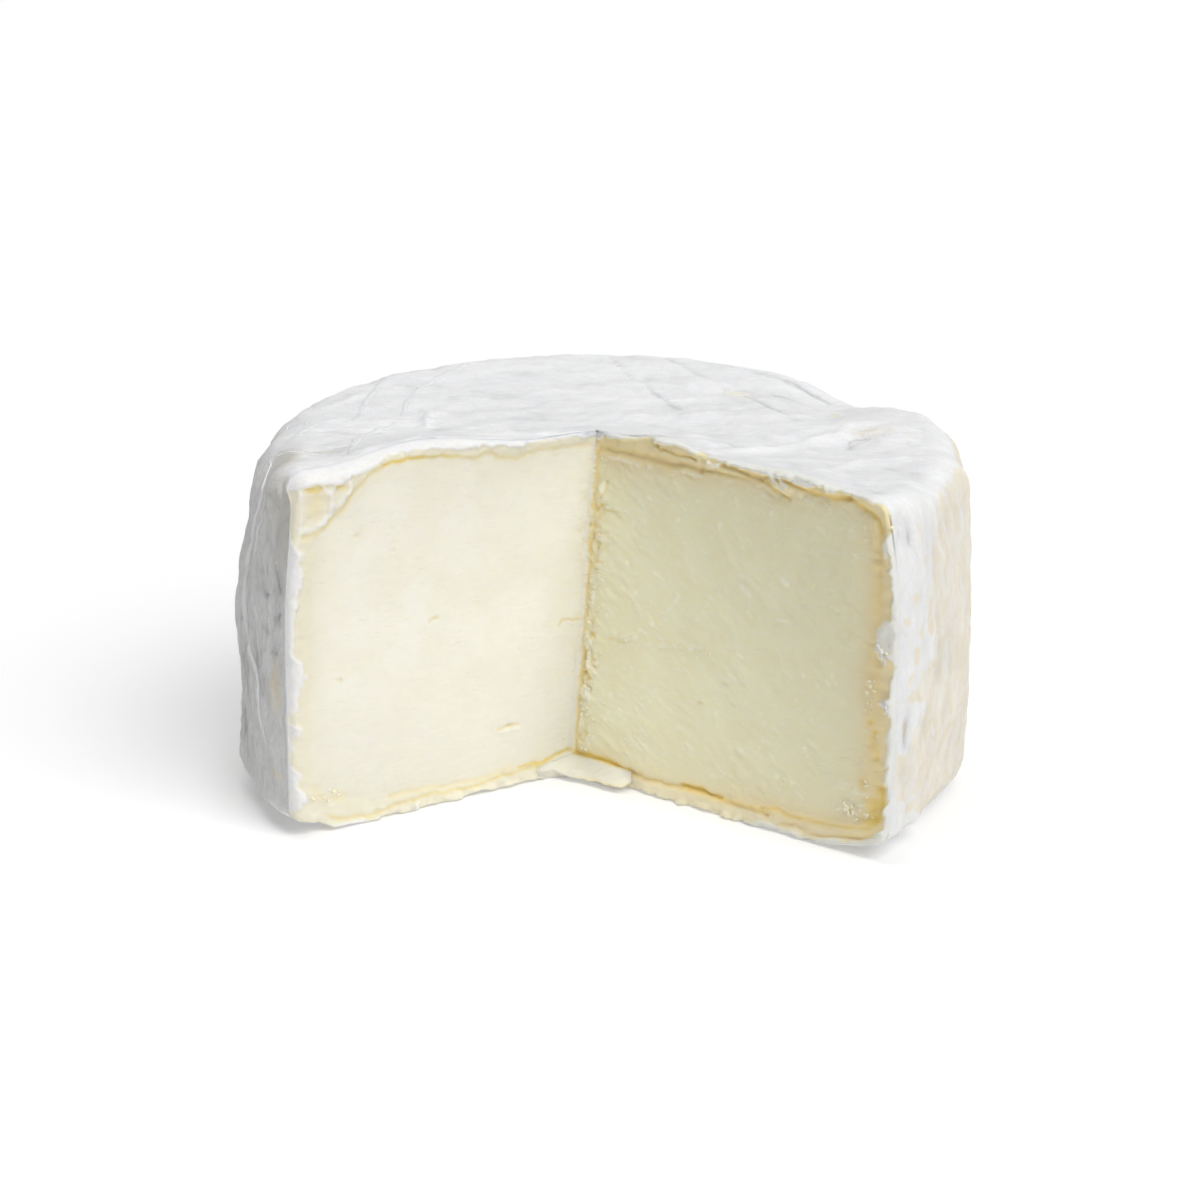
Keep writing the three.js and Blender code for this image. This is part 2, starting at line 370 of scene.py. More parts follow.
def edge_round(left, runs, heights):
    """Radius of a cut's soft edge, which dies out at the kerf and is tight down the right wall."""
    slumped = left * smoothstep(heights, 49.5, 52.5) * smoothstep(runs, 12, 36)
    tight = (1 - left) * smoothstep(runs, 44, 52)
    return (EDGE_ROUND * (1 - 0.4 * tight) + (CORNER_ROUND - EDGE_ROUND) * slumped) * smoothstep(runs, 1, 6)


def edge_drop(behind, radius):
    """How far the soft edge lies under the outside at a distance behind the cut."""
    reach = np.maximum((EDGE_LAP + LAP_SPARE) * radius, 1e-6)
    return radius * (1 - np.clip(behind / reach, 0, 1) ** (1 / EDGE_FALL))


def skin_turns():
    """Sections of the skin: close together at the cuts, where its edge dips, and wider apart at the back."""
    at_cut = np.array([0, 0.08, 0.2, 0.36, 0.62, 0.95, 1.4])
    side = np.linspace(1.85, CLOSE_REACH, 101)
    back = np.linspace(CLOSE_REACH, ROUND - CLOSE_REACH, 168)[1:-1]
    return np.concatenate([at_cut, side, back, ROUND - side[::-1], ROUND - at_cut[::-1]]) / ROUND


def skin_layer(cells, depth):
    """Points over one side of the skin, which dips under the soft edge at the cuts."""
    runs, heights = wheel_section(turns, *cells)
    span = np.maximum(runs, 3) * ROUND / RADIUS
    to_cut = np.minimum(turns, 1 - turns) * span
    at_base = smoothstep(heights, 2.4, 1.2) * smoothstep(runs, 3, 9)
    rounding = edge_round(turns > 0.5, runs, heights)
    back = lerp(rounding, SKIN_BACK, at_base) * (1 - smoothstep(to_cut, 0, 6))
    dip = edge_drop(to_cut + back, rounding) + EDGE_DIP * smoothstep(to_cut, 0.3, 0)
    return place(turns + np.where(turns < 0.5, 1, -1) * back / span, *inset(runs, heights, depth + dip))


turns = skin_turns()
outer = skin_layer(OUTER_CELLS, 0)
inner = skin_layer(INNER_CELLS, SKIN)[::-1]
loop = np.concatenate([outer, inner, outer[:1]])

bm = bmesh.new()
vertices, column, row = grid_into(bm, len(loop) - 1, len(turns) - 1)
move_to(vertices, loop[column, row])
to_cut = np.minimum(turns, 1 - turns)[row] * ROUND
hidden = (column >= len(outer)) & (column < len(loop) - 1)
tag(bm, {"hidden": hidden, "to_cut": to_cut})
bm.verts.index_update()
ends = []
for cut_row in (0, len(turns) - 1):
    edges = [e for e in bm.edges if row[e.verts[0].index] == cut_row == row[e.verts[1].index]]
    ends += bmesh.ops.contextual_create(bm, geom=edges)["faces"]
bmesh.ops.triangulate(bm, faces=ends, ngon_method="EAR_CLIP")
rind = closed_piece(bm, "white_rind")

# Creases and low swells of the top's skin: a line through places from the axis, its height and half width.
TOP_FOLDS = (
    (((8.8, 49.3), (11.9, 45.4), (15, 39.5), (19.5, 31.9), (22.5, 27.3), (24.6, 23.6), (29, 14)), -0.4, 0.45),
    (((0.6, 48.3), (3.8, 38.6), (6.5, 31.9), (9.9, 23.6), (11.3, 20.9)), -0.34, 0.45),
    (((14.9, -13.4), (18.7, -8.7), (24.7, -5.5), (30.3, 2.7), (35, 6.1), (40, 6.5), (46, 1.5)), 0.35, 1.1),
    (((16, -10), (21, -5), (27, -1), (33, 8)), -0.25, 0.9),
    (((-27, 4.5), (-27.2, 8), (-26.5, 11.5), (-24.4, 10.6)), 0.5, 0.6),
    (((-12, 30), (2, 24), (16, 27)), 0.25, 1.6),
    (((-20, -4), (-6, -1), (6, -5), (14, 1)), 0.25, 1.3),
    (((-49, -2), (-48, 8), (-45, 18), (-40, 27)), 0.35, 0.6),
    (((-45, 6), (-43, 14), (-38, 22)), 0.25, 0.5),
    (((35.0, 5.8), (36.5, 10.2), (40.4, 10.0), (43.1, 7.5), (46.3, 6.7)), 0.35, 0.7),
    (((35.5, -1), (37, 4), (41, 4.5)), -0.35, 0.6),
    (((26, 33), (33, 26), (39, 22)), -0.3, 0.9),
    (((15.8, 16.4), (19.6, 11.6), (23.1, 5), (26.3, -0.5), (29.7, -6.4)), 0.28, 0.8),
    (((30.3, -23.3), (36.9, -10.8), (42.4, -8), (46, -9.1), (48.2, -16.7)), 0.25, 0.8),
    (((-47, -12.2), (-45.1, -16.8), (-43.2, -17.2)), 0.4, 0.5),
)
# Upright folds of the wall's skin, as lines through places given by degrees and height.
WALL_FOLDS = (
    (((-80, 50), (-84, 36), (-83, 20), (-78, 8)), 0.4, 0.6),
    (((-71, 30), (-70, 20), (-67, 10)), 0.3, 0.5),
    (((-97, 48), (-94, 30), (-99, 12)), 0.35, 0.9),
    (((-120, 45), (-112, 28), (-118, 8)), 0.35, 1.2),
    (((51, 47), (52.5, 38), (50.5, 30), (53, 20)), 0.12, 0.8),
    (((56.8, 36), (56.4, 31.8), (56.5, 27.5)), 0.25, 0.5),
    (((69.5, 37.5), (70.8, 33.6), (71.3, 30.9), (71.9, 27)), 0.4, 0.5),
    (((58, 50), (60, 43), (62, 40)), 0.35, 0.7),
    (((84, 47), (80, 30), (86, 10)), 0.3, 1.2),
    (((150, 48), (158, 26), (152, 6)), 0.35, 1.2),
    (((-150, 46), (-158, 30), (-150, 10)), 0.35, 1.2),
)
# The edge of the white on the right wall, beyond which the mould has worn off, by degrees and height.
WHITE_WALL = (
    (78, 62), (72, 52.5), (67.3, 50.8), (58.9, 47.5), (56.5, 42.6), (55.8, 39.3), (53.7, 36.8),
    (53.9, 33.8), (55.7, 30.2), (56.7, 28), (55.3, 27), (52, 26.8), (51.1, 25.1), (48.3, 24.3),
    (46.4, 24.1), (50.1, 23.2), (54.6, 21.3), (51.9, 20.5), (49.5, 19), (48.8, 16.4), (46.2, 15.8),
    (44.9, 13.5), (44.9, 10.7), (46.2, 8.7), (49.8, 6.4), (54.6, 4.5), (62, 1), (62, -6), (20, -6),
    (20, 62),
)  # fmt: skip
# White streaks left on the worn wall and worn streaks and dots in the white: line and half width.
WHITE_STREAKS = (
    (((56.9, 35.5), (56.4, 31.8), (56.5, 28)), 0.5),
    (((69.5, 37), (70.8, 33.6), (71.3, 30.9), (71.9, 28.5)), 0.35),
    (((59, 44), (61, 41)), 0.4),
    (((67.1, 49.4), (70, 48.6)), 0.6),
    (((57.2, 17.7), (59, 15.7)), 0.6),
    (((45.5, 9.2), (49.8, 7.6), (52.7, 8.1)), 0.5),
    (((46.5, 6.9), (49.4, 5)), 0.45),
    (((63, 47), (65, 42)), 0.5),
    (((58.5, 8.5), (61, 6.5)), 0.45),
    (((64, 26), (64.6, 21)), 0.3),
    (((74, 45), (75.5, 40)), 0.4),
)
WORN_STREAKS = (
    (((48.9, 38.4), (48.9, 37.8)), 0.75),
    (((51.4, 33.1), (51.4, 32.6)), 0.8),
    (((46.6, 35.6), (47.4, 35.2)), 0.5),
    (((52.3, 42.7), (53.6, 43.2), (54.8, 42.4)), 0.35),
    (((54.8, 38.6), (54.4, 37.6)), 0.4),
    (((49.9, 30.4), (49.7, 29.2)), 0.7),
    (((48.5, 27.4), (47.6, 26.2)), 0.5),
    (((51, 48), (51.8, 45.5)), 0.3),
    (((47, 20.4), (47.8, 18.9)), 0.4),
)


def along_way(u, v, way):
    """Places measured along and across a direction."""
    return u * np.cos(way) + v * np.sin(way), v * np.cos(way) - u * np.sin(way)


def unrolled(line):
    return [(np.radians(at) * RADIUS, up) for at, up in line]


def brushed(points, degrees, drift, seed):
    """Long soft strokes that run one way over the top, with a few sharper crests among them."""
    x, y, z = points.T
    lying = stacked(*along_way(x, y, np.radians(degrees)), z) + drift
    strokes = layered(lying, (0.11, (5, 2.4, 4), seed), (0.08, (2.6, 1.3, 4), seed + 1))
    patchy = smoothstep(soft_noise(points, 9, seed + 3), -0.2, 0.5)
    return strokes + 0.13 * wrinkles(lying, (6, 3.2, 5), seed + 2) * patchy


points, normals = vertices_of(rind)
hidden, to_cut = tagged(rind, "hidden"), tagged(rind, "to_cut")
x, y, z = points.T
angle = np.arctan2(x, -y)
degrees = np.degrees(angle)
arc = RADIUS * angle
on_top = smoothstep(normals[:, 2], 0.45, 0.85)
on_wall = smoothstep(np.hypot(normals[:, 0], normals[:, 1]), 0.6, 0.9)
drift = stacked(soft_noise(points, 12, 25), soft_noise(points, 12, 29), 0) * 2.6
drift += stacked(soft_noise(points, 5, 41), soft_noise(points, 5, 48), 0) * 0.9
brushed_left = brushed(points, 5, drift, 201)
brushed_right = brushed(points, -55, drift, 211)
relief = lerp(brushed_left, brushed_right, smoothstep(x, -6, 22)) * on_top
leaning = points + stacked(0.2 * z, 0, 0) + 0.5 * drift
fibres = layered(leaning, (0.14, (1.8, 1.8, 6), 22), (0.11, (1.1, 1.1, 3), 27))
fibres += 0.16 * wrinkles(leaning, (4, 4, 12), 35) * smoothstep(soft_noise(points, 8, 36), -0.3, 0.4)
left_wall = smoothstep(degrees, -20, -50) * smoothstep(degrees, -150, -110)
aslant = points + stacked(0, -0.55 * z, 0.35 * y) + 0.4 * drift
slanting = 0.2 * left_wall * wrinkles(aslant, (2.6, 2.6, 4.2), 37, 0.1)
fibres -= slanting * smoothstep(soft_noise(points, 6, 38), -0.4, 0.3)
relief += fibres * on_wall
relief += layered(points, (0.15, 3.4, 30), (0.1, 2.2, 23), (0.08, 1.1, 24))
for line, height, width in TOP_FOLDS:
    relief += height * ridge(x, y, line, width) * on_top
for line, height, width in WALL_FOLDS:
    relief += height * ridge(arc, z, unrolled(line), width) * on_wall
slit = mound(x + 0.6 * (y + 13.3), y, -41.0, -13.3, 1.9, 0.5) + 0.5 * mound(x, y, -38.8, -11.2, 0.8, 0.4)
slit += 0.4 * mound(x, y, -41.7, -3.1, 0.6, 0.6)
relief -= 0.9 * slit
rough_right = near(angle, 60, 18) * on_wall * smoothstep(z, 46, 14)
relief += 0.26 * rough_right * soft_noise(points, (2.2, 2.2, 3.6), 28)
underneath = smoothstep(-normals[:, 2], 0.7, 0.95)
outside = smoothstep(np.hypot(x, y), 2, 6)
relief *= (1 - underneath) * outside * (1 - hidden) * smoothstep(to_cut, 0.1, 2.4)
set_vertices(rind, points + normals * relief[:, None])

ragged = layered(points, (0.9, (2.0, 2.0, 3.4), 33), (0.5, (0.9, 0.9, 1.5), 34))
right_wall = smoothstep(degrees, 44.6, 46) * smoothstep(degrees, 150, 105) * on_wall
worn = smoothstep(ragged - inside_by(arc, z, unrolled(WHITE_WALL)), -0.4, 1.0)
for line, width in WORN_STREAKS:
    worn = np.maximum(worn, 1.2 * ridge(arc, z, unrolled(line), width))
wisps = soft_noise(leaning, (1.3, 1.3, 7), 31) + 0.7 * soft_noise(points, (1.3, 1.3, 4.5), 32)
worn *= 1 - 0.6 * smoothstep(wisps, 0.45, 0.95)
for line, width in WHITE_STREAKS:
    worn *= 1 - 0.95 * ridge(arc, z, unrolled(line), width)
worn *= right_wall
worn = np.maximum(worn, 0.5 * mound(x, y, 41, 5.5, 5.5, 4.0) * on_top * smoothstep(ragged, -0.6, 0.6))
stain = mound(degrees, z, -60.7, 21.8, 1.6, 4.5) + 0.8 * mound(degrees, z, -61.0, 9.0, 2.0, 0.7)
stain += mound(degrees, z, -57.6, 50.8, 1.3, 1.6)
worn = np.maximum(worn, 0.9 * stain * on_wall)
# Painted shade: a grey patch on the wall and shoulder by the left cut, where the shoulder falls into shade,
# and a faint grey over the whole shaded left wall.
left_painted_shade = 0.75 * mound(degrees, z, -59.5, 46, 3.5, 8) * on_wall
left_painted_shade += 1.4 * mound(x, y, -46.3, -17, 2.4, 6.5) * smoothstep(z, 48, 50)
left_painted_shade += 0.14 * on_wall * left_wall
# Painted shade: the skin is darkened in its hollows, less on the lit right wall and more on the shaded left
# wall.
hollow = smoothstep(-relief, 0.02, 0.4) * (1 - 0.8 * right_wall) * (1 + 0.9 * left_wall * on_wall)
store(rind, "worn", np.clip(worn, 0, 1))
store(rind, "slit", slit)
store(rind, "hollow", hollow)
store(rind, "left_painted_shade", np.clip(left_painted_shade, 0, 1))
store(rind, "upright", on_wall * lerp(1.0, 0.3, smoothstep(degrees, 0, 30) * smoothstep(degrees, 175, 140)))
bare_base = smoothstep(to_cut, 9, 4) * smoothstep(z, 1.6, 0.6)
store(rind, "bare_edge", bare_base * smoothstep(np.abs(degrees), 58, 30))
store(rind, "creamy", smoothstep(degrees, 40, 52) * smoothstep(degrees, 165, 120) * on_wall)


def add_node(tree, kind, **settings):
    """A node with its properties and its unlinked input values set by name."""
    node = tree.nodes.new(kind)
    node.location = (-220 * (len(tree.nodes) % 7), -180 * (len(tree.nodes) // 7))
    for name, value in settings.items():
        if hasattr(node, name):
            setattr(node, name, value)
        else:
            node.inputs[name.replace("_", " ")].default_value = value
    return node


def attribute(tree, name):
    return add_node(tree, "ShaderNodeAttribute", attribute_name=name).outputs["Fac"]


def fill(tree, sockets, values):
    for socket, value in zip(sockets, values):
        if isinstance(value, bpy.types.NodeSocket):
            tree.links.new(value, socket)
        elif isinstance(value, tuple):
            socket.default_value = (*value, 1)
        else:
            socket.default_value = value


def wire(tree, node, **values):
    """Links or sets a node's inputs by name."""
    fill(tree, [node.inputs[name.replace("_", " ")] for name in values], values.values())


def mixed(tree, factor, first, second):
    """Colour between two, each a socket or a colour."""
    node = add_node(tree, "ShaderNodeMix", data_type="RGBA")
    fill(tree, (node.inputs[0], node.inputs[6], node.inputs[7]), (factor, first, second))
    return node.outputs[2]


def calc(tree, operation, *values):
    node = add_node(tree, "ShaderNodeMath", operation=operation)
    fill(tree, node.inputs, values)
    return node.outputs[0]


def times(tree, *values):
    return calc(tree, "MULTIPLY", *values)


def times_plus(tree, *values):
    """The first value times the second, plus the third."""
    return calc(tree, "MULTIPLY_ADD", *values)


def between(tree, value, low, high, most=1.0):
    """Rises from 0 to the most as the value goes from low to high."""
    node = add_node(tree, "ShaderNodeMapRange", interpolation_type="SMOOTHSTEP")
    fill(tree, node.inputs, (value, low, high, 0.0, most))
    return node.outputs["Result"]


def stretched(tree, coordinates, scale, turned=(0, 0, 0)):
    mapping = add_node(tree, "ShaderNodeMapping", Scale=scale, Rotation=turned)
    wire(tree, mapping, Vector=coordinates)
    return mapping.outputs["Vector"]


def noise(tree, coordinates, scale, detail=4.0, roughness=0.6, distortion=0.0):
    settings = {"Scale": scale, "Detail": detail, "Roughness": roughness, "Distortion": distortion}
    node = add_node(tree, "ShaderNodeTexNoise", **settings)
    wire(tree, node, Vector=coordinates)
    return node.outputs["Fac"]


def bumped(tree, height, strength, distance):
    node = add_node(tree, "ShaderNodeBump", Strength=strength, Distance=distance)
    wire(tree, node, Height=height)
    return node.outputs["Normal"]


def new_material(name):
    material = bpy.data.materials.new(name)
    material.use_nodes = True
    tree = material.node_tree
    coordinates = add_node(tree, "ShaderNodeTexCoord").outputs["Object"]
    return material, tree, tree.nodes["Principled BSDF"], coordinates


def white_bloom_group():
    """The mould's own white: faintly uneven, with a nap of fine short hairs that lie in wisps."""
    tree = bpy.data.node_groups.new("white_bloom", "ShaderNodeTree")
    sockets = (("Vector", "INPUT", "Vector"), ("Color", "OUTPUT", "Color"), ("Nap", "OUTPUT", "Float"))
    for name, way, kind in sockets:
        tree.interface.new_socket(name, in_out=way, socket_type="NodeSocket" + kind)
    inside = tree.nodes.new("NodeGroupInput").outputs["Vector"]
    outside = tree.nodes.new("NodeGroupOutput")
    cloud = noise(tree, inside, 150, 3)
    wisps = noise(tree, stretched(tree, inside, (1, 3.6, 1.4), (0, 0, 0.45)), 330, 6, 0.7, 1.4)
    fibres = noise(tree, stretched(tree, inside, (2.6, 1, 1), (0.2, 0, 0.2)), 900, 4, 0.7, 0.8)
    nap = noise(tree, inside, 3000, 2, 0.7)
    tint = mixed(tree, between(tree, wisps, 0.3, 0.7), (0.85, 0.85, 0.845), (0.95, 0.945, 0.935))
    tint = mixed(tree, between(tree, cloud, 0.4, 0.75, 0.6), tint, (0.88, 0.88, 0.89))
    tint = mixed(tree, between(tree, fibres, 0.55, 0.8, 0.6), tint, (0.96, 0.955, 0.945))
    hairs = times_plus(tree, fibres, 0.9, times(tree, nap, 0.3))
    wire(tree, outside, Color=tint, Nap=times_plus(tree, wisps, 1.6, hairs))
    return tree


BLOOM = white_bloom_group()


def bloom_in(tree, coordinates):
    group = add_node(tree, "ShaderNodeGroup")
    group.node_tree = BLOOM
    wire(tree, group, Vector=coordinates)
    return group.outputs["Color"], group.outputs["Nap"]


def rind_finish():
    material, tree, shader, coordinates = new_material("white_rind_finish")
    white, nap = bloom_in(tree, coordinates)
    upright = attribute(tree, "upright")
    strands = noise(tree, stretched(tree, coordinates, (1, 1, 0.42), (0, 0.25, 0)), 760, 6, 0.75, 1.0)
    on_strands = times(tree, between(tree, strands, 0.62, 0.36, 0.75), upright)
    white = mixed(tree, times(tree, attribute(tree, "creamy"), 0.75), white, (0.93, 0.915, 0.88))
    colour = mixed(tree, on_strands, white, (0.70, 0.69, 0.66))
    fine = noise(tree, stretched(tree, coordinates, (1, 1, 0.65)), 900, 6, 0.75, 0.8)
    ragged = times_plus(tree, fine, 1.5, attribute(tree, "worn"))
    worn = between(tree, ragged, 0.85, 1.35)
    mottle = noise(tree, stretched(tree, coordinates, (1, 1, 0.7)), 330, 6, 0.7, 0.8)
    beige = mixed(tree, between(tree, mottle, 0.35, 0.65), (0.86, 0.765, 0.59), (0.92, 0.865, 0.77))
    colour = mixed(tree, worn, colour, beige)
    # Painted shade: the skin is mixed towards grey in its hollows and over the left corner and left wall.
    painted_shade = calc(tree, "MAXIMUM", times(tree, attribute(tree, "hollow"), 0.4), attribute(tree, "left_painted_shade"))
    colour = mixed(tree, painted_shade, colour, (0.60, 0.58, 0.53))
    colour = mixed(tree, times(tree, attribute(tree, "slit"), 0.7), colour, (0.58, 0.50, 0.30))
    colour = mixed(tree, attribute(tree, "bare_edge"), colour, (0.84, 0.77, 0.58))
    height = times_plus(tree, times(tree, strands, upright), 1.6, nap)
    wire(tree, shader, Base_Color=colour, Roughness=times_plus(tree, worn, -0.25, 0.92))
    wire(tree, shader, Normal=bumped(tree, height, 0.6, 0.00028), Specular_IOR_Level=0.25)
    wire(tree, shader, Subsurface_Weight=0.4, Subsurface_Radius=[1, 0.9, 0.75], Subsurface_Scale=0.001)
    wire(tree, shader, Sheen_Weight=0.12, Sheen_Roughness=0.6)
    return material


RIND_FINISH = rind_finish()
belongs(rind, RIND_FINISH)

# ---------------------------------------------------------------- folds pressed into the rind
# The soft skin was creased where its wrapping and the turner's hand pushed it together. Each fold is a thin
# raised thread of the same white skin, lying on the top or down the wall.

# Places along each fold from the axis, seen from above, and its half width and height.
TOP_THREADS = (
    (((-35, 36.6), (-35.9, 27.3), (-36.9, 19.1), (-37.7, 8.7), (-39, 3)), 0.55, 0.16),
    (((-19.8, 49.3), (-23.5, 38.6), (-28.3, 31), (-30.5, 21.8), (-31.1, 13), (-31.4, 5.5)), 0.57, 0.17),
    (((-31.4, 7), (-32.2, 3.4), (-34.6, 0.9), (-36.4, -3.9), (-36.9, -11.9), (-36.9, -17),
     (-36.8, -20.2)), 0.77, 0.20),
    (((-31.2, 5), (-28, 6), (-24, 9)), 0.39, 0.13),
    (((-51, -8), (-50, 2), (-47.5, 12), (-43, 22)), 0.44, 0.13),
    (((-36, 10), (-39.6, 7.5), (-42.1, 5.5), (-44.1, 3.4), (-45.4, -0.5), (-46.9, -2.6),
     (-47.7, -5.8)), 0.55, 0.17),
    (((-49.5, -13), (-46, -14), (-42.5, -14.8), (-38.5, -15)), 0.39, 0.15),
    (((-46.5, 0), (-44.5, 8), (-41, 15)), 0.33, 0.11),
)
# Places along each fold of the wall: degrees and height.
WALL_THREADS = (
    (((-76, 52.6), (-71, 51.8), (-68.3, 49.5), (-70.4, 46.8), (-73.9, 42.3), (-75.9, 38.7), (-76.3, 34.8),
     (-75, 29.2), (-72.3, 26.3), (-68.4, 23.5), (-66.8, 20.3), (-65.9, 16.7), (-64.1, 13.2),
     (-62.4, 10.8), (-61, 8.9)), 0.42, 0.55),
    (((-66, 50), (-70.5, 40), (-73, 33)), 0.3, 0.3),
)
THREAD_STEP = 0.35
THREAD_SIDES = 8


def evenly(line, step):
    """Places every step along a line, with its corners rounded off."""
    line = np.array(line, float)
    lengths = np.concatenate([[0], np.cumsum(np.linalg.norm(np.diff(line, axis=0), axis=1))])
    at = np.linspace(0, lengths[-1], max(4, int(lengths[-1] / step)))
    places = np.stack([np.interp(at, lengths, part) for part in line.T], axis=-1)
    reach = max(1, int(2.0 / step))
    padded = np.pad(places, ((reach, reach), (0, 0)), mode="reflect", reflect_type="odd")
    window = np.hanning(2 * reach + 3)[1:-1]
    return np.stack([np.convolve(part, window / window.sum(), mode="valid") for part in padded.T], axis=-1)


def sweep_into(bm, centres, across, out, half_across, half_out):
    """A tube with shut ends along the centres, wide across and high outwards."""
    vertices, column, row = grid_into(bm, THREAD_SIDES, len(centres) - 1)
    turned = 2 * np.pi * column / THREAD_SIDES
    points = centres[row] + (half_across[row] * np.cos(turned))[:, None] * across[row]
    points += (half_out[row] * np.sin(turned))[:, None] * out[row]
    move_to(vertices, points)


def unit(vectors):
    return vectors / np.linalg.norm(vectors, axis=-1, keepdims=True)


def on_skin(origin, direction):
    """Where a straight line from outside meets the rind, and the rind's normal there."""
    start = Vector((np.array(origin) + AXIS) * MM)
    point, normal, _, _ = SKIN_TREE.ray_cast(start, Vector(direction))
    return np.array(point) / MM - AXIS, np.array(normal)


def thread_into(bm, hits, half_width, height, seed):
    points = np.array([point for point, _ in hits])
    normals = np.array([normal for _, normal in hits])
    across = unit(np.cross(np.gradient(points, axis=0), normals))
    share = np.linspace(0, 1, len(points))
    taper = np.sqrt(np.clip(np.sin(np.pi * share), 0, 1)) * (1 + 0.35 * soft_noise(points, 2.5, seed))
    sideways = 0.25 * soft_noise(points, 2.0, seed + 1)
    centres = points + across * sideways[:, None] - normals * 0.08
    sweep_into(bm, centres, across, normals, half_width * taper, height * taper)


bm = bmesh.new()
bm.from_mesh(rind.data)
SKIN_TREE = BVHTree.FromBMesh(bm)
bm.clear()
for i, (line, half_width, height) in enumerate(TOP_THREADS):
    hits = [on_skin((x, y, 90), (0, 0, -1)) for x, y in evenly(line, THREAD_STEP)]
    thread_into(bm, hits, half_width, height, 101 + 2 * i)
for i, (line, half_width, height) in enumerate(WALL_THREADS):
    hits = []
    for arc, up in evenly(unrolled(line), THREAD_STEP):
        outwards = np.array([np.sin(arc / RADIUS), -np.cos(arc / RADIUS), 0])
        hits.append(on_skin(90 * outwards + (0, 0, up), -outwards))
    thread_into(bm, hits, half_width, height, 131 + 2 * i)
folds = closed_piece(bm, "skin_folds")
belongs(folds, RIND_FINISH)

# ---------------------------------------------------------------- the paste
# The pale, firm, moist inside of the cheese with its two cut faces. A knife was drawn down through it, so
# the faces carry drag marks and crumbs. Next to the rind the paste has ripened to a yellower, clearer layer
# with a crease.

PASTE_INSET = 0.55  # from the wheel's outside: the skin covers it
BASE_INSET = 0.12  # the skin under the base is thinner at the cuts
LAYERS = 14
PASTE_FLAT_CELLS = 186
PASTE_CORNER_CELLS = 14
PASTE_WALL_CELLS = 202
PASTE_SINK = 0.3
CUT_PROUD = 0.02  # how far the border of the cut faces stands out of the wheel's outside
BEHIND_CUT = 5.0  # how far the next layer of paste lies behind each cut, and its inset
BEHIND_INSET = 0.8
TURN_STEP = 0.01  # over which the change of the outside is measured
BORDER_CELLS = (30, 12, 160, 120)  # of the outside, where the distance to a cut face's border is measured
OUTSIDE_CELLS = (60, 10, 90, 90)  # and where its change is

# The pale paste's border on each cut face, and the marks on the face, as places by run from the kerf and
# height. A mark is a line, how far it goes into the face, its half width, and how ochre and how pale it is.
LEFT_PASTE = (
    (-2, 51.5), (7, 51.9), (10.2, 52.3), (11.9, 51.6), (14, 51.2), (17.1, 52), (19.8, 52.9), (21.5, 52.2),
    (22.8, 52.6), (27.1, 53.3), (32.6, 53.7), (36.7, 53.4), (39.2, 52.2), (41.1, 50.7), (43.1, 48.1),
    (44.7, 46.9), (46.8, 45.2), (48.0, 43.5), (48.3, 36.9), (48.1, 29.5), (47.6, 22.1), (47.5, 14.6),
    (47.4, 10.8), (46.6, 6.9), (42.5, 4.6), (36.8, 2.8), (33.3, 3), (29.8, 3), (22.6, 2.4), (17.1, 2.4),
    (10.8, 3), (6.1, 2.9), (0, 3.2), (-2, 3.2),
)  # fmt: skip
LEFT_MARKS = (
    (((36.9, 53.1), (35.1, 53.5), (32.6, 53.7), (30.3, 53.5)), 0.3, 0.3, 1.0, 0),
    (((30.3, 53.5), (27.1, 53.3), (24, 53.0)), 0.2, 0.28, 0.7, 0),
    (((24, 53), (22.8, 52.6), (21.5, 52.2), (19.8, 52.9), (17.1, 52), (14, 51.2),
     (11.9, 51.6)), 0.15, 0.35, 0.35, 0),
    (((11.9, 51.6), (10.2, 52.3), (7, 51.9), (1, 51.6)), 0.12, 0.4, 0.22, 0),
    (((36.7, 53.4), (39.2, 52.2), (41.1, 50.7), (43.1, 48.1), (44.7, 46.9), (47.4, 44.9),
     (50.3, 44.6)), 0.2, 0.5, 0.36, 0),
    (((50.3, 52.2), (49, 51.6), (47.8, 51.3), (46.8, 51.6)), 0.15, 0.55, 0.75, 0),
    (((44.6, 51.6), (43.6, 51.0)), 0.12, 0.6, 0.6, 0),
    (((51.6, 53.6), (51.3, 52.6)), 0.1, 0.5, 0.9, 0),
    (((47.6, 50), (47.8, 48)), 0.2, 1.2, 0.3, 0),
    (((46.6, 7.2), (45.9, 5.6), (43, 4.8), (40.5, 4.9)), 0.15, 0.5, 0.25, 0.2),
    (((43.6, 2.1), (40.2, 1.4), (36.7, 1.0), (34.1, 1.4), (30.6, 1.8), (24.8, 1.8),
     (18.9, 1.5)), 0.2, 0.3, 0.5, 0),
    (((18.9, 1.5), (14.4, 1.9), (9.7, 2.2), (6.6, 2.4)), 0.22, 0.28, 0.6, 0),
    (((33.3, 3), (29.8, 3), (22.6, 2.5), (17.1, 2.5), (10.8, 2.9)), 0.12, 0.35, 0.28, 0),
    (((9.8, 2.9), (7.5, 2.9), (6.3, 2.7), (5.1, 2.6), (4.1, 2.9), (3.5, 3.3), (2.9, 3.6),
     (0.4, 3.6)), 0.22, 0.3, 0.95, 0),
    (((5.6, 2.3), (6.3, 2.1), (6.6, 1.7), (5.9, 1.2)), 0.25, 0.22, 0.7, 0),
    (((4, 24.1), (3.4, 25), (2.6, 24.9), (1.9, 24.4), (0.4, 24.5)), 0.18, 0.2, 0.6, 0),
    (((14.2, 9.5), (12.1, 9.9), (10.4, 9.6)), 0.15, 0.2, 0.5, 0),
    (((13.6, 9.0), (12, 8.9), (10.6, 9.1)), -0.14, 0.3, 0, 0.6),
)
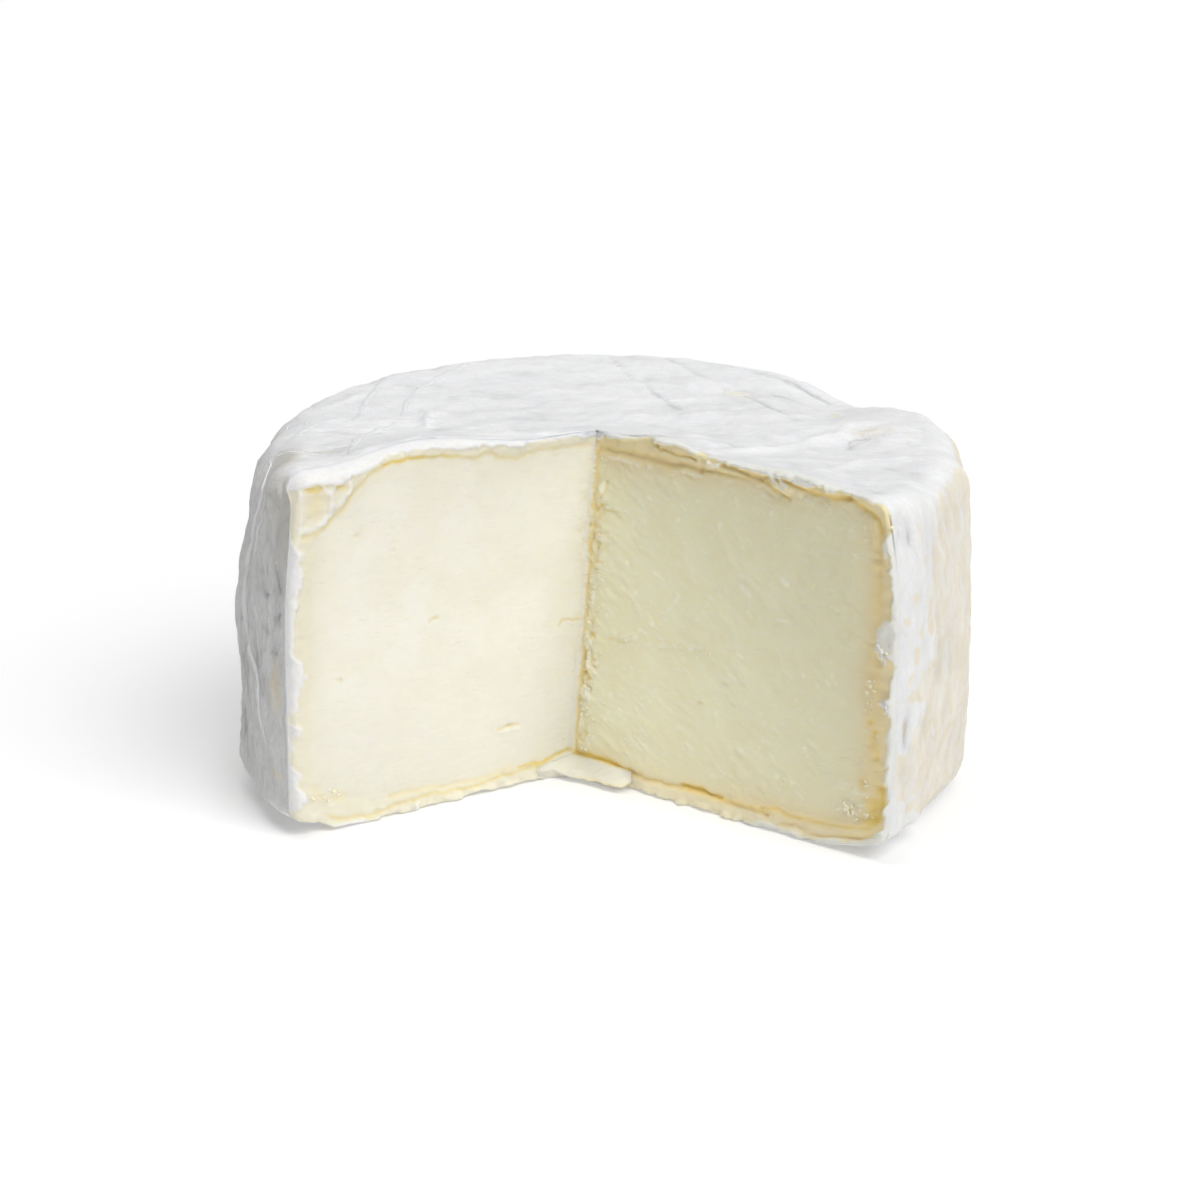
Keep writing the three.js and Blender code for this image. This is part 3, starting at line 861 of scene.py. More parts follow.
RIGHT_PASTE = (
    (-2, 49.8), (1.5, 49.9), (8.1, 50.1), (14.7, 50.2), (23.1, 50.4), (30.7, 51.2), (33.6, 50.6),
    (36.5, 50.4), (42, 51.2), (46.6, 51.2), (50.2, 51.2), (52.8, 50.5), (53.6, 49.3), (53.2, 48),
    (53.4, 45.2), (54.1, 41.8), (54.1, 36), (54.6, 30.6), (53.9, 25.6), (55.1, 19.9), (55.2, 16.2),
    (54.7, 11.6), (55.4, 8.7), (56, 6.2), (55, 4.6), (48.4, 3.7), (41.5, 3.7), (36.9, 3.5), (29.4, 2.6),
    (21.7, 2.3), (10.8, 2.2), (6.7, 3.1), (0.6, 3), (-2, 3),
)  # fmt: skip
RIGHT_MARKS = (
    (((0.4, 51), (0.35, 45), (0.4, 42), (0.3, 31), (0.4, 20), (0.35, 12), (0.5, 3.5)), 0.12, 0.26, 0.6, 0),
    (((0.8, 51), (4.9, 51.2), (8.2, 51.3), (11.1, 51.2), (13.9, 51.2), (17.1, 51.2),
     (21, 51.4)), 0.45, 0.7, 0.3, 0),
    (((2, 50.9), (8.2, 51), (13.9, 50.9), (19, 51)), 0.1, 0.3, 0.35, 0),
    (((0.6, 52.1), (3.1, 52.6), (6, 53), (7.6, 53.4), (10.1, 53.2)), 0.1, 0.6, 0.15, 0),
    (((21, 51.0), (25, 51.2), (28.8, 51.2), (32.6, 51.6)), 0.3, 0.42, 0.4, 0),
    (((12.1, 53.2), (12.9, 52.8), (13.7, 53.1), (15.3, 52.7), (17.7, 52.6), (20, 52.4)), 0.3, 0.18, 0.9, 0),
    (((24.8, 52.6), (27.9, 52.6), (29.3, 52.3), (30.7, 52), (34.1, 52.1)), 0.35, 0.3, 0.7, 0),
    (((16, 51.9), (21, 52.1), (24, 51.7)), -0.2, 0.35, 0.1, 0.3),
    (((0.9, 49.9), (3, 49.9), (5.1, 50.0), (7.1, 49.9), (9.2, 49.8), (11, 49.8)), -0.32, 0.22, 0, 1.0),
    (((13.2, 50.1), (15.6, 50.2), (17.2, 50.3), (19.2, 50.3), (21.3, 50.3)), -0.3, 0.22, 0, 1.0),
    (((24.3, 50.2), (27, 50.4)), -0.15, 0.2, 0, 0.6),
    (((32.6, 51.5), (34.1, 51.3), (35.5, 50.7), (36.9, 50.2), (38.1, 49.6)), 0.25, 0.24, 0.85, 0),
    (((37.4, 51.2), (39.9, 50.5), (42.5, 49.9)), -0.18, 0.3, 0, 0.5),
    (((33.2, 49.7), (35.1, 49.5)), -0.15, 0.25, 0, 0.5),
    (((36.8, 52.4), (38.2, 52.1), (42, 51.4), (44.6, 51.4), (46.8, 51.4), (48.9, 51.8)), 0.3, 0.42, 0.8, 0),
    (((48.9, 51.8), (50.2, 51.5), (51.5, 51), (53, 50.3), (54.6, 49.6), (54.9, 48.2)), 0.3, 0.42, 0.8, 0),
    (((55, 48.5), (54.9, 44), (55.5, 38), (55.8, 33), (55.6, 27), (56.2, 21), (56.8, 14),
     (57, 8)), 0.1, 1.0, 0.25, 0),
    (((55.2, 48.5), (55.1, 45), (55.5, 40), (55.8, 36)), 0.1, 0.5, 0.45, 0),
    (((55.2, 20.6), (56.3, 18.7), (56.7, 17.3), (57.2, 15.2)), 0.25, 0.42, 0.85, 0),
    (((55, 11.5), (55.4, 10)), 0.15, 0.5, 0.7, 0),
    (((54.5, 26.5), (55.2, 26.1), (55.1, 25.1), (54.5, 24.2), (55.2, 23.7)), -0.35, 0.22, 0, 0.9),
    (((58.3, 11), (58.6, 9.2), (58.3, 7.2), (57.4, 5.6)), 0.4, 0.7, 1.0, 0),
    (((57.3, 8.6), (57.0, 6.6), (56.2, 5.4)), 0.4, 1.3, 0.85, 0),
    (((56.4, 8.8), (57.1, 6.8)), 0.2, 0.9, 0.5, 0),
    (((0.3, 3.2), (5.9, 3.2), (8.2, 3), (10.8, 2.4), (21.7, 2.5), (24.6, 2.8), (29.4, 2.5),
     (38.4, 2.2)), 0.34, 0.36, 0, 0),
    (((0.3, 3.2), (2.6, 3.1), (5.9, 3.2), (8.2, 3), (9.2, 2.8), (10.8, 2.4)), 0, 0.6, 1.0, 0),
    (((10.8, 2.4), (15.3, 2.4), (18.8, 2.4), (21.7, 2.5)), 0, 0.36, 0.5, 0),
    (((21.7, 2.5), (24.6, 2.8), (27, 2.8), (29.4, 2.5)), 0.2, 0.5, 0.95, 0),
    (((29.4, 2.5), (32.3, 2.5), (35.1, 2.6), (38.4, 2.2)), 0, 0.36, 0.66, 0),
    (((36.9, 2.8), (39.7, 3.6), (41.6, 3.2), (46.6, 3.2), (50.7, 3.5), (54.2, 4.1),
     (57.2, 4.7)), 0.2, 0.3, 0.6, 0),
    (((38.1, 0.7), (40.4, 0.9), (41.9, 1.8), (43.2, 2.2), (44.9, 1.6), (49, 1.4), (51.7, 2.1),
     (56.9, 3)), 0.2, 0.26, 0.4, 0),
    (((5.5, 22.6), (7.5, 22.0), (8.9, 22.4)), 0.14, 0.2, 0.3, 0),
    (((5.8, 23.1), (8.9, 23.0), (10.5, 23.2)), -0.2, 0.2, 0, 0.8),
    (((15.4, 23.2), (17.6, 23.8), (20.5, 24), (24, 24.8)), -0.2, 0.2, 0, 0.85),
    (((15.4, 22.7), (18, 23.2), (20.5, 23.5)), 0.07, 0.2, 0.1, 0),
    (((37, 31.8), (39.5, 31.8), (41.8, 32.3)), -0.2, 0.2, 0, 0.85),
    (((2.6, 42.2), (5.8, 42.6), (8.5, 41.4), (10.4, 41.0)), -0.22, 0.22, 0, 0.9),
    (((2.6, 41.8), (5.8, 42.1)), 0.12, 0.2, 0.35, 0),
)
# The inner edge of the white skin as it shows on each cut face: run from the kerf and height.
LEFT_WHITE = (
    (-2, 52.7), (8.9, 53.3), (12.9, 53.2), (13.3, 52.7), (17.2, 53.4), (19.4, 53.8), (22, 53.7),
    (26.3, 54.3), (30.6, 54.7), (35.2, 54.5), (37.2, 53.9), (40, 52.7), (42.3, 52.4), (43.8, 51.4),
    (47.3, 51.9), (50.4, 51.8), (52.0, 51), (52.3, 48), (51.6, 45), (50.5, 43), (50.1, 42), (50.4, 41.2),
    (49.6, 39.5), (49.8, 38.3), (50.4, 36.5), (50.8, 34), (50.8, 31), (51.1, 28.5), (50.8, 27.5),
    (49.3, 26.3), (48.9, 24.5), (49.3, 23.3), (49.9, 22.5), (49.6, 21), (50.1, 19.5), (50.8, 18.8),
    (50.6, 17.5), (49.1, 16.9), (49.0, 15.9), (50.4, 15.3), (50.5, 13), (50.3, 10.8), (49.5, 10), (49.4, 8),
    (48.4, 7.2), (47.9, 6), (48.4, 4.9), (49.9, 4.4), (50.2, 3), (49.5, 1.2), (43, 0.3), (42, 0.9),
    (38, 0.7), (36.5, -0.5), (29.5, -0.5), (28.8, 1.0), (27.9, -0.5), (-2, -0.5),
)  # fmt: skip
RIGHT_WHITE = (
    (-2, 52.4), (0.6, 52.5), (3, 53), (6.2, 53.5), (9.7, 54.2), (12.8, 53.8), (17.9, 53.6), (23.8, 53.1),
    (27.7, 52.6), (32.5, 52.7), (37.3, 52.4), (42, 52.2), (46.5, 52.3), (51.1, 52.2), (55.3, 51.9),
    (56.8, 50.6), (56.8, 49.3), (56.1, 47.1), (57.1, 44), (58.0, 38.8), (58.1, 36.7), (56.6, 33.8),
    (56.8, 31.3), (58.7, 29.5), (58.3, 23.5), (58.9, 20.7), (58.7, 16.9), (58.9, 12.4), (59.2, 9.2),
    (58.8, 5.4), (57.5, 3.4), (55.2, 2.4), (50.8, 1.7), (46.4, 0.7), (40.8, 1.1), (37.1, 1.2), (34.4, 0.2),
    (30, -0.5), (-2, -0.5),
)  # fmt: skip
# Openings in the paste: run, height, half width, half height, depth and how ochre.
LEFT_EYES = (
    (26.6, 28.9, 0.55, 0.28, 0.35, 0.45),
    (27.3, 28.6, 0.35, 0.22, 0.3, 0.4),
    (12.2, 9.7, 0.7, 0.28, 0.4, 0.5),
    (31.7, 29.3, 0.8, 0.6, 0.25, 0),
    (42.8, 22.3, 0.45, 0.35, 0.3, 0.3),
    (46, 30.3, 0.8, 0.5, 0.25, 0.1),
    (40.8, 43.5, 0.5, 0.35, 0.25, 0.3),
    (34.5, 40.5, 0.4, 0.25, 0.2, 0.15),
)
RIGHT_EYES = (
    (24.0, 16.5, 0.6, 0.3, 0.3, 0.25),
    (28.0, 20.2, 0.9, 0.5, 0.25, 0),
    (33.5, 13.0, 0.9, 0.6, 0.25, 0.05),
    (36.3, 51.6, 1.3, 0.7, -0.7, 0),
)

# Folds of the white skin that the knife laid over each face: line, half width and how proud they stand.
LEFT_SWEEPS = (
    (((42.9, 53.4), (42.4, 51.5), (42.4, 50.3), (43.1, 49.5), (43.9, 48.6)), 0.55, 0.22),
    (((44.8, 52), (45.4, 50.2), (45.2, 48.6), (45.4, 47.6), (46.7, 46.4), (48.3, 45.6),
     (49.9, 45.5)), 0.5, 0.2),
    (((50.6, 53), (50.4, 51.5), (50.3, 49.5), (50.3, 47), (50.4, 44.5)), 0.35, 0.15),
    (((45.4, 50.2), (46.4, 51.2), (46.6, 52.4)), 0.5, 0.12),
    (((50.0, 42.3), (49.9, 41.6)), 0.6, 0.3),
    (((50.1, 39.6), (50.1, 38.6)), 0.7, 0.35),
    (((50.1, 26.2), (49.8, 25.2), (49.9, 23.8)), 0.8, 0.45),
    (((49.9, 16.8), (49.7, 16.1)), 0.6, 0.4),
    (((49.4, 7.1), (49.0, 6.2), (49.2, 5.2)), 0.8, 0.45),
    (((28.9, 0.7), (28.2, 1.2)), 0.4, 0.35),
    (((13.3, 53.4), (13.0, 52.9)), 0.35, 0.25),
)
RIGHT_SWEEPS = (
    (((34.4, 53.0), (35.2, 52.2), (36.2, 51.5), (37.4, 50.9)), 0.4, 0.4),
    (((36.4, 52.9), (37.0, 52.2), (37.9, 51.6)), 0.4, 0.35),
    (((57.2, 35.4), (56.3, 33.8), (56.2, 31.6), (57.2, 30.2)), 0.7, 0.25),
    (((58.2, 24.0), (57.2, 23.5)), 0.55, 0.25),
    (((55.9, 46.6), (56.3, 44.9)), 0.55, 0.2),
    (((22.3, 52.5), (23.4, 52.1), (24.6, 52.5)), 0.3, 0.25),
)
FOLD_WHITE = {1: 0.9, -1: 0.5}  # how white they are: the left face's are thin films
# How far the base's torn edge has lifted off the table along each cut: run and height.
LEFT_FOOT = (
    (3, 0.0), (8, 0.3), (11, 0.4), (14.7, 0.2), (17, 0.35), (18.2, 0.45), (20.2, 0.1), (26.5, 0.2),
    (29, 0.05), (37, 0.1), (42.3, 0.25), (43.2, 0), (44.2, 0.35), (45.5, 0.9), (46.5, 0.55), (47.5, 1.0),
    (48.5, 0.8), (50, 0.3), (53, 0.2),
)  # fmt: skip
RIGHT_FOOT = ((3, 0.0), (12.5, 0.2), (18, 0.1), (30, 0), (36, 0.15), (46, 0.1), (50, 0.35), (57, 0.5))


FACES = {
    1: (RIGHT_PASTE, RIGHT_WHITE, RIGHT_MARKS, RIGHT_EYES, RIGHT_SWEEPS),
    -1: (LEFT_PASTE, LEFT_WHITE, LEFT_MARKS, LEFT_EYES, LEFT_SWEEPS),
}


def knife_drag(right, flat, run, z):
    """What the knife did to a face: how it is drawn along, and where it is torn."""
    dragged = stacked(*along_way(run, z, np.radians(-30 if right else 14)), 0)
    patchy = smoothstep(soft_noise(flat, 7, 44), -0.5, 0.5)
    drag = layered(dragged, (0.05, (3.2, 0.75, 1), 56), (0.04, (1.6, 0.55, 1), 57))
    drag *= (0.5 + patchy) * (1.7 if right else 0.4)
    scraped = smoothstep(soft_noise(flat, 3.4, 68) + 0.5 * soft_noise(flat, 9, 69), -0.1, 0.5)
    torn = float(right) * smoothstep(soft_noise(dragged, (1.3, 0.45, 1), 67), 0.42, 0.72) * scraped
    return drag - 0.05 * torn, torn


def kerf_strip(right, flat, run, z):
    """How strongly the paste crumbles beside the kerf."""
    strip = np.exp(-(((run - 1.3) / 1.7) ** 2)) if right else 0.3 * np.exp(-((run / 2.5) ** 2))
    uneven = 0.45 + 0.55 * smoothstep(soft_noise(flat, 5, 45), -0.4, 0.3)
    return strip * smoothstep(z, 2.5, 7) * smoothstep(z, 50, 44) * uneven


def soft_border(right, run, z):
    """How far a cut face falls away at its border, and how far from the border places are."""
    outer_run, outer_z = wheel_section([0.0 if right else 1.0], *BORDER_CELLS)
    to_border = from_line(run, z, np.stack([outer_run, outer_z], axis=-1)[:, 0])
    rounding = edge_round(not right, run, z) * smoothstep(z, 0.8, 3.5)
    share = np.clip(1 - to_border / np.maximum(rounding, 1e-6), 0, 1)
    return rounding * EDGE_LAP * share**EDGE_FALL, to_border


def cut_face(side, run, z):
    """Relief into the cheese over one cut face, and its masks: white, ripened, ochre and pale."""
    right = side > 0
    outline, white_outline, marks, eyes, sweeps = FACES[side]
    flat = stacked(run, z, 20.0 * side)
    wander_run = run + 0.28 * soft_noise(flat, 1.7, 51) + 0.14 * soft_noise(flat, 0.8, 42)
    wander_z = z + 0.24 * soft_noise(flat, 1.7, 52) + 0.12 * soft_noise(flat, 0.8, 43)
    depth = inside_by(wander_run, wander_z, outline)
    paste = smoothstep(depth, -0.4, 0.5)
    clear = np.maximum(depth, 0)
    ripe = np.where(depth < 0, 1, 0.75 * np.exp(-clear / 1.4) + 0.25 * np.exp(-clear / 6.0))
    ragged = layered(flat, (0.42, 1.9, 65), (0.34, 0.75, 66))
    past = -inside_by(run, z, white_outline)
    white = smoothstep(past + ragged, -0.12, 0.2)
    bead = 0.22 * smoothstep(past + ragged, -0.15, 0.15) * smoothstep(past + ragged, 0.7, 0.3)
    for line, half_width, proud in sweeps:
        over = ridge(wander_run, wander_z, line, half_width)
        white = np.maximum(white, FOLD_WHITE[side] * smoothstep(over + 0.5 * ragged, 0.3, 0.95))
        bead += proud * over

    swell = layered(flat, (0.16, 13, 54), (0.07, 5, 55))
    drag, torn = knife_drag(right, flat, run, z)
    grain = (0.06 if right else 0.02) * soft_noise(flat, 0.6, 58)
    tearing = layered(flat, (0.13, (2.6, 1.1, 1), 59), (0.12, (1.0, 0.8, 1), 60))
    relief = paste * (PASTE_SINK + swell + drag) + grain + tearing * (1 - paste)
    crumbly = smoothstep(soft_noise(flat, 0.7, 85), -0.35, 0.15)
    ochre = 0 * run
    pale = 0 * run
    for line, into, width, tint, light in marks:
        over = ridge(wander_run, wander_z, line, width)
        if into < 0:
            over = over * crumbly
        relief += into * over
        ochre = np.maximum(ochre, tint * over)
        pale = np.maximum(pale, light * over)
    for at, up, half, tall, into, tint in eyes:
        over = mound(wander_run, wander_z, at, up, half, tall)
        relief += into * over
        ochre = np.maximum(ochre, tint * over)

    strip = kerf_strip(right, flat, run, z)
    crumble = layered(flat, (0.55, 0.85, 62), (0.35, 1.6, 63))
    curls = wrinkles(flat, 1.5, 46, 0.12)
    relief += strip * (crumble + 0.3 * curls)
    ochre = np.maximum(ochre, strip * np.maximum(0.5 * curls, smoothstep(crumble, 0.15, 0.45)))
    pale = np.maximum(pale, strip * smoothstep(-crumble, 0.1, 0.35))
    corner = mound(run, z, 54, 7.5, 3.2, 2.6) if right else mound(run, z, 45.5, 3.6, 4.5, 2.6)
    knobs = soft_noise(flat, 0.95 if right else 1.4, 47)
    relief += corner * 0.32 * knobs
    pale = np.maximum(pale, corner * smoothstep(-knobs, 0.1, 0.5))
    frill = 0.2 + 0.5 * soft_noise(flat, (1.7, 1.2, 1), 70) + 0.35 * soft_noise(flat, 0.8, 71)
    relief -= np.maximum(frill, 0) * smoothstep(z, 1.5, 0.3)
    lumps = layered(flat, (0.24, (1.4, 1.2, 1), 81), (0.14, 0.65, 82))
    relief = lerp(relief, np.minimum(lumps - 0.12, 0.05), white) - bead
    rounded, to_border = soft_border(right, run, z)
    relief = relief * lerp(1, smoothstep(to_border, 0.05, 0.9), smoothstep(z, 0.8, 3.5)) + rounded
    relief *= smoothstep(run, 0, 0.45)
    pale = np.maximum(pale, (0.45 if right else 0.2) * smoothstep(z, 3.0, 1.6))
    masks = {
        "bloom": white,
        "ripe": ripe * (1 - white),
        "ochre": np.clip(ochre, 0, 1) * (1 - white),
        "lip": np.clip(pale, 0, 1) * (1 - white),
        # The right face lies in shade: this mask picks the copies of the paste's colours that are painted
        # lighter for it.
        "shaded_face": np.full(np.shape(run), float(right)),
        "torn": torn * paste,
    }
    return relief, masks


def along_outside(turn, run, z, relief):
    """How run and height change where the relief takes a cut face's border back along the wheel's outside."""
    step = TURN_STEP if turn < 0.5 else -TURN_STEP
    here, there = (np.stack(wheel_section([turn + shift], *OUTSIDE_CELLS))[..., 0] for shift in (0, step))
    apart = np.hypot(run[:, None] - here[0], z[:, None] - here[1])
    change = (there - here)[:, apart.argmin(axis=1)] / abs(step)
    return change * smoothstep(apart.min(axis=1), 3, 1.8) * relief / (np.maximum(run, 3) * ROUND / RADIUS)


flat_cells = PASTE_FLAT_CELLS + PASTE_CORNER_CELLS
bm = bmesh.new()
vertices, _, _ = grid_into(bm, flat_cells, PASTE_WALL_CELLS)
bmesh.ops.translate(bm, verts=bm.verts, vec=(0.5, 0.5, 0))
bmesh.ops.scale(bm, verts=bm.verts, vec=(flat_cells, PASTE_WALL_CELLS, 1))
bmesh.ops.spin(bm, geom=bm.verts[:] + bm.edges[:] + bm.faces[:], dvec=(0, 0, 1), axis=(0, 0, 1), steps=LAYERS)
column, row, layer = np.rint([v.co[:] for v in bm.verts]).astype(int).T

# Every section is filled in from its four borders: the base, the wall, the top and the kerf.
near_cut = BEHIND_CUT / ROUND
layer_turns = np.array([0, near_cut, *np.linspace(0, 1, LAYERS - 1)[1:-1], 1 - near_cut, 1])
paste_cells = (PASTE_FLAT_CELLS, PASTE_CORNER_CELLS, PASTE_WALL_CELLS, PASTE_FLAT_CELLS)
runs, heights = wheel_section(layer_turns, *paste_cells)
under_skin = np.full(runs.shape, PASTE_INSET)
under_skin[:, [0, -1]] = -CUT_PROUD
under_skin[:, [1, -2]] = BEHIND_INSET
section = np.stack(inset(runs, heights, lerp(BASE_INSET, under_skin, smoothstep(heights, 0.3, 3))))
for cut_layer, foot in ((0, RIGHT_FOOT), (LAYERS, LEFT_FOOT)):
    cut_runs = runs[:, cut_layer]
    lifted = np.interp(cut_runs, *zip(*foot))
    torn_line = stacked(cut_runs, cut_layer, 0)
    lifted += np.maximum(layered(torn_line, (0.3, 1.7, 83), (0.2, 0.8, 84)), 0)
    at_foot = smoothstep(heights[:, cut_layer], 3.0, 0.3)
    section[1, :, cut_layer] += lifted * smoothstep(cut_runs, 3, 8) * at_foot
base_line = section[:, : flat_cells + 1]
wall_line = section[:, flat_cells : flat_cells + PASTE_WALL_CELLS + 1]
top_line = section[:, flat_cells + PASTE_WALL_CELLS :][:, ::-1]
up = row / PASTE_WALL_CELLS
base_edge = base_line[:, column, layer]
top_edge = top_line[:, column, layer]
wall_edge = wall_line[:, row, layer]
out = lerp(base_edge[0] / base_line[0, -1, layer], top_edge[0] / top_line[0, -1, layer], up)
kerf_edge = lerp(base_line[:, 0, layer], top_line[:, 0, layer], up)
low_corners = lerp(base_line[:, 0, layer], base_line[:, -1, layer], out)
high_corners = lerp(top_line[:, 0, layer], top_line[:, -1, layer], out)
run, z = lerp(base_edge, top_edge, up) + lerp(kerf_edge, wall_edge, out) - lerp(low_corners, high_corners, up)

points = place(layer_turns[layer], run, z)
masks = {name: np.zeros(len(run)) for name in ("bloom", "ripe", "ochre", "lip", "shaded_face", "torn")}
for side, cut_layer in ((1, 0), (-1, LAYERS)):
    at = layer == cut_layer
    relief, found = cut_face(side, run[at], z[at])
    turn = layer_turns[cut_layer]
    bearing = bearing_at(turn, z[at])
    inwards = side * stacked(np.cos(bearing), np.sin(bearing), 0)
    moved_run, moved_z = along_outside(turn, run[at], z[at], relief)
    points[at] = place(turn, run[at] + moved_run, z[at] + moved_z) + inwards * relief[:, None]
    for name, values in found.items():
        masks[name][at] = values
masks["cut_run"] = run
masks["cut_height"] = z
move_to(bm.verts, points)


def paste_finish():
    material, tree, shader, coordinates = new_material("pale_paste_finish")
    white, nap = bloom_in(tree, coordinates)
    bloom = attribute(tree, "bloom")
    ripe = attribute(tree, "ripe")
    ochre = attribute(tree, "ochre")
    shaded = attribute(tree, "shaded_face")
    on_face = add_node(tree, "ShaderNodeCombineXYZ")
    cut_run = attribute(tree, "cut_run")
    cut_height = attribute(tree, "cut_height")
    fill(tree, on_face.inputs, (cut_run, cut_height))
    face = on_face.outputs["Vector"]
    left_drag = noise(tree, stretched(tree, face, (0.3, 1.2, 1), (0, 0, -0.24)), 1.0, 5, 0.65, 0.8)
    right_drag = noise(tree, stretched(tree, face, (0.55, 2.6, 1), (0, 0, 0.52)), 1.0, 4, 0.6, 0.6)
    patches = noise(tree, face, 0.16, 3)
    cloud = noise(tree, coordinates, 130, 3)
    grain = noise(tree, coordinates, 1600, 4, 0.7)
    # Each paste colour has a copy for each face, picked by shaded_face. The right face lies in shade, so its
    # copies are painted lighter and yellower, as painted light bounced from the lit left face. The white film
    # on the lit left face is painted a little greyer, and partly it is the film's own duller white.
    left_tint = mixed(tree, between(tree, cloud, 0.35, 0.65), (0.85, 0.82, 0.71), (0.875, 0.855, 0.77))
    left_tint = mixed(tree, between(tree, cut_height, 30, 0), left_tint, (0.785, 0.765, 0.68))
    right_tint = mixed(tree, between(tree, cloud, 0.35, 0.65), (0.89, 0.85, 0.60), (0.91, 0.885, 0.65))
    right_tint = mixed(tree, between(tree, cut_run, 20, 55, 0.6), right_tint, (0.82, 0.785, 0.55))
    colour = mixed(tree, shaded, left_tint, right_tint)
    colour = mixed(tree, between(tree, left_drag, 0.4, 0.8, 0.35), colour, (0.90, 0.885, 0.80))
    flecks = times(tree, between(tree, right_drag, 0.58, 0.68), between(tree, patches, 0.35, 0.55))
    flecks = calc(tree, "MAXIMUM", flecks, attribute(tree, "torn"))
    fleck_share = times(tree, flecks, times_plus(tree, shaded, 0.55, 0.15))
    colour = mixed(tree, fleck_share, colour, (0.97, 0.945, 0.79))
    left_ripe = mixed(tree, cloud, (0.775, 0.73, 0.575), (0.81, 0.77, 0.635))
    right_ripe = mixed(tree, cloud, (0.86, 0.71, 0.40), (0.915, 0.78, 0.50))
    colour = mixed(tree, times(tree, ripe, 0.85), colour, mixed(tree, shaded, left_ripe, right_ripe))
    lip = mixed(tree, shaded, (0.85, 0.825, 0.71), (0.95, 0.93, 0.80))
    colour = mixed(tree, times(tree, attribute(tree, "lip"), 0.85), colour, lip)
    colour = mixed(tree, ochre, colour, mixed(tree, shaded, (0.80, 0.635, 0.18), (0.88, 0.65, 0.17)))
    film_with_painted_light = mixed(tree, shaded, (0.80, 0.79, 0.77), (0.84, 0.83, 0.73))
    colour = mixed(tree, bloom, colour, mixed(tree, 0.55, white, film_with_painted_light))
    moist = times_plus(tree, ripe, -0.12, times_plus(tree, grain, 0.15, 0.5))
    drawn = times_plus(tree, flecks, 0.6, times(tree, left_drag, 0.3))
    height = times_plus(tree, grain, 0.35, times_plus(tree, nap, bloom, drawn))
    wire(tree, shader, Base_Color=colour, Roughness=times_plus(tree, bloom, 0.35, moist))
    wire(tree, shader, Normal=bumped(tree, height, 0.5, 0.00022), Specular_IOR_Level=0.35)
    wire(tree, shader, Subsurface_Weight=0.4, Subsurface_Radius=[1, 0.8, 0.45], Subsurface_Scale=0.0016)
    return material


tag(bm, masks)
PASTE_FINISH = paste_finish()
belongs(closed_piece(bm, "cut_paste"), PASTE_FINISH)

# ---------------------------------------------------------------- the torn tip of the base
# When the wedge was lifted out, the thin point of its base rind tore off and stayed in the notch, still
# joined to the wheel under both cut faces. Its soft top is smooth and wet, and its front edge curls up off
# the table a little.

TIP_BACK = ((-11.4, -3.6), (-8.2, -1.0), (-5.6, 0.8), (-3.4, -1.2), (-0.4, -4.0), (2.3, -6.7), (3.6, -8.0))
TIP_FRONT = (
    (-9.9, -3.6), (-8.7, -3.3), (-7.1, -3.3), (-5.9, -4.5), (-3.9, -5.4), (-2.2, -6.4), (-1.0, -7.8),
    (0.4, -9.3), (1.5, -10.1), (2.5, -9.8), (3.2, -9.2), (3.7, -8.3),
)  # fmt: skip
TIP_HEIGHT = 3.1
TIP_FRONT_HEIGHT = 1.35
TIP_THICKNESS = 0.38
TIP_CELLS = (96, 48)

bm = bmesh.new()
grid_into(bm, *TIP_CELLS)
bmesh.ops.translate(bm, verts=bm.verts, vec=(0.5, 0.5, 0))
raised = bmesh.ops.extrude_face_region(bm, geom=bm.verts[:] + bm.edges[:] + bm.faces[:])["geom"]
bmesh.ops.translate(bm, verts=[v for v in raised if isinstance(v, bmesh.types.BMVert)], vec=(0, 0, 1))
across, forward, upper = np.array([v.co[:] for v in bm.verts]).T


def share_along(line, share):
    """Place at a share of the way along a line through places."""
    line = evenly(line, 0.1)
    return np.stack([np.interp(share, np.linspace(0, 1, len(line)), part) for part in line.T], axis=-1)


flat = lerp(share_along(TIP_BACK, across), share_along(TIP_FRONT, across), forward[:, None])
seeds = np.column_stack([flat, 0 * across])
flat[:, 1] += forward**8 * layered(seeds, (0.32, 1.6, 71), (0.16, 0.7, 72))
puckers = layered(seeds, (0.1, (2.6, 1.2, 1), 73), (0.05, 0.8, 74))
edge = np.sqrt(1 - np.clip(np.maximum(forward - 0.9, across - 0.9) / 0.1, 0, 0.985) ** 2)
top_z = lerp(TIP_HEIGHT, TIP_FRONT_HEIGHT, forward**0.8) + puckers + 0.35 * forward * soft_noise(seeds, 3, 76)
under = np.maximum(smoothstep(forward, 0.45, 0.95), smoothstep(across, 0.84, 0.96))
bottom_z = under * (top_z - TIP_THICKNESS + 0.25 * smoothstep(across, 0.35, 0.05))
middle = lerp(bottom_z, top_z, 0.5)
z = np.maximum(middle + (upper - 0.5) * (top_z - bottom_z) * edge, 0.01)
move_to(bm.verts, np.column_stack([flat, z]))
rim = smoothstep(forward, 0.9, 0.98)
wet_rim = 0.6 * rim * (1 - 0.6 * upper) * smoothstep(across, 0.2, 0.4)
tip_masks = {
    "bloom": rim * (1 - upper) * smoothstep(across, 0.42, 0.25),
    "ripe": 0.15 + 0.4 * rim + 0.15 * soft_noise(seeds, 2.0, 75),
    "ochre": np.clip(wet_rim + 0.8 * smoothstep(forward, 0.14, 0), 0, 1),
    "lip": 0.35 * smoothstep(soft_noise(seeds, 1.8, 77), 0, 0.5) * upper,
    "shaded_face": 0 * across,
    "torn": 0 * across,
    "cut_run": flat[:, 0],
    "cut_height": flat[:, 1],
}
tag(bm, tip_masks)
belongs(closed_piece(bm, "torn_base_tip"), PASTE_FINISH)

# ---------------------------------------------------------------- crumbs and tufts at the cuts
# The dry paste crumbled under the knife. The crumbs are the same paste, a fraction of a millimetre across,
# and stuck to the moist faces. At the rind's edge small torn tufts of the white skin lie over the cut.

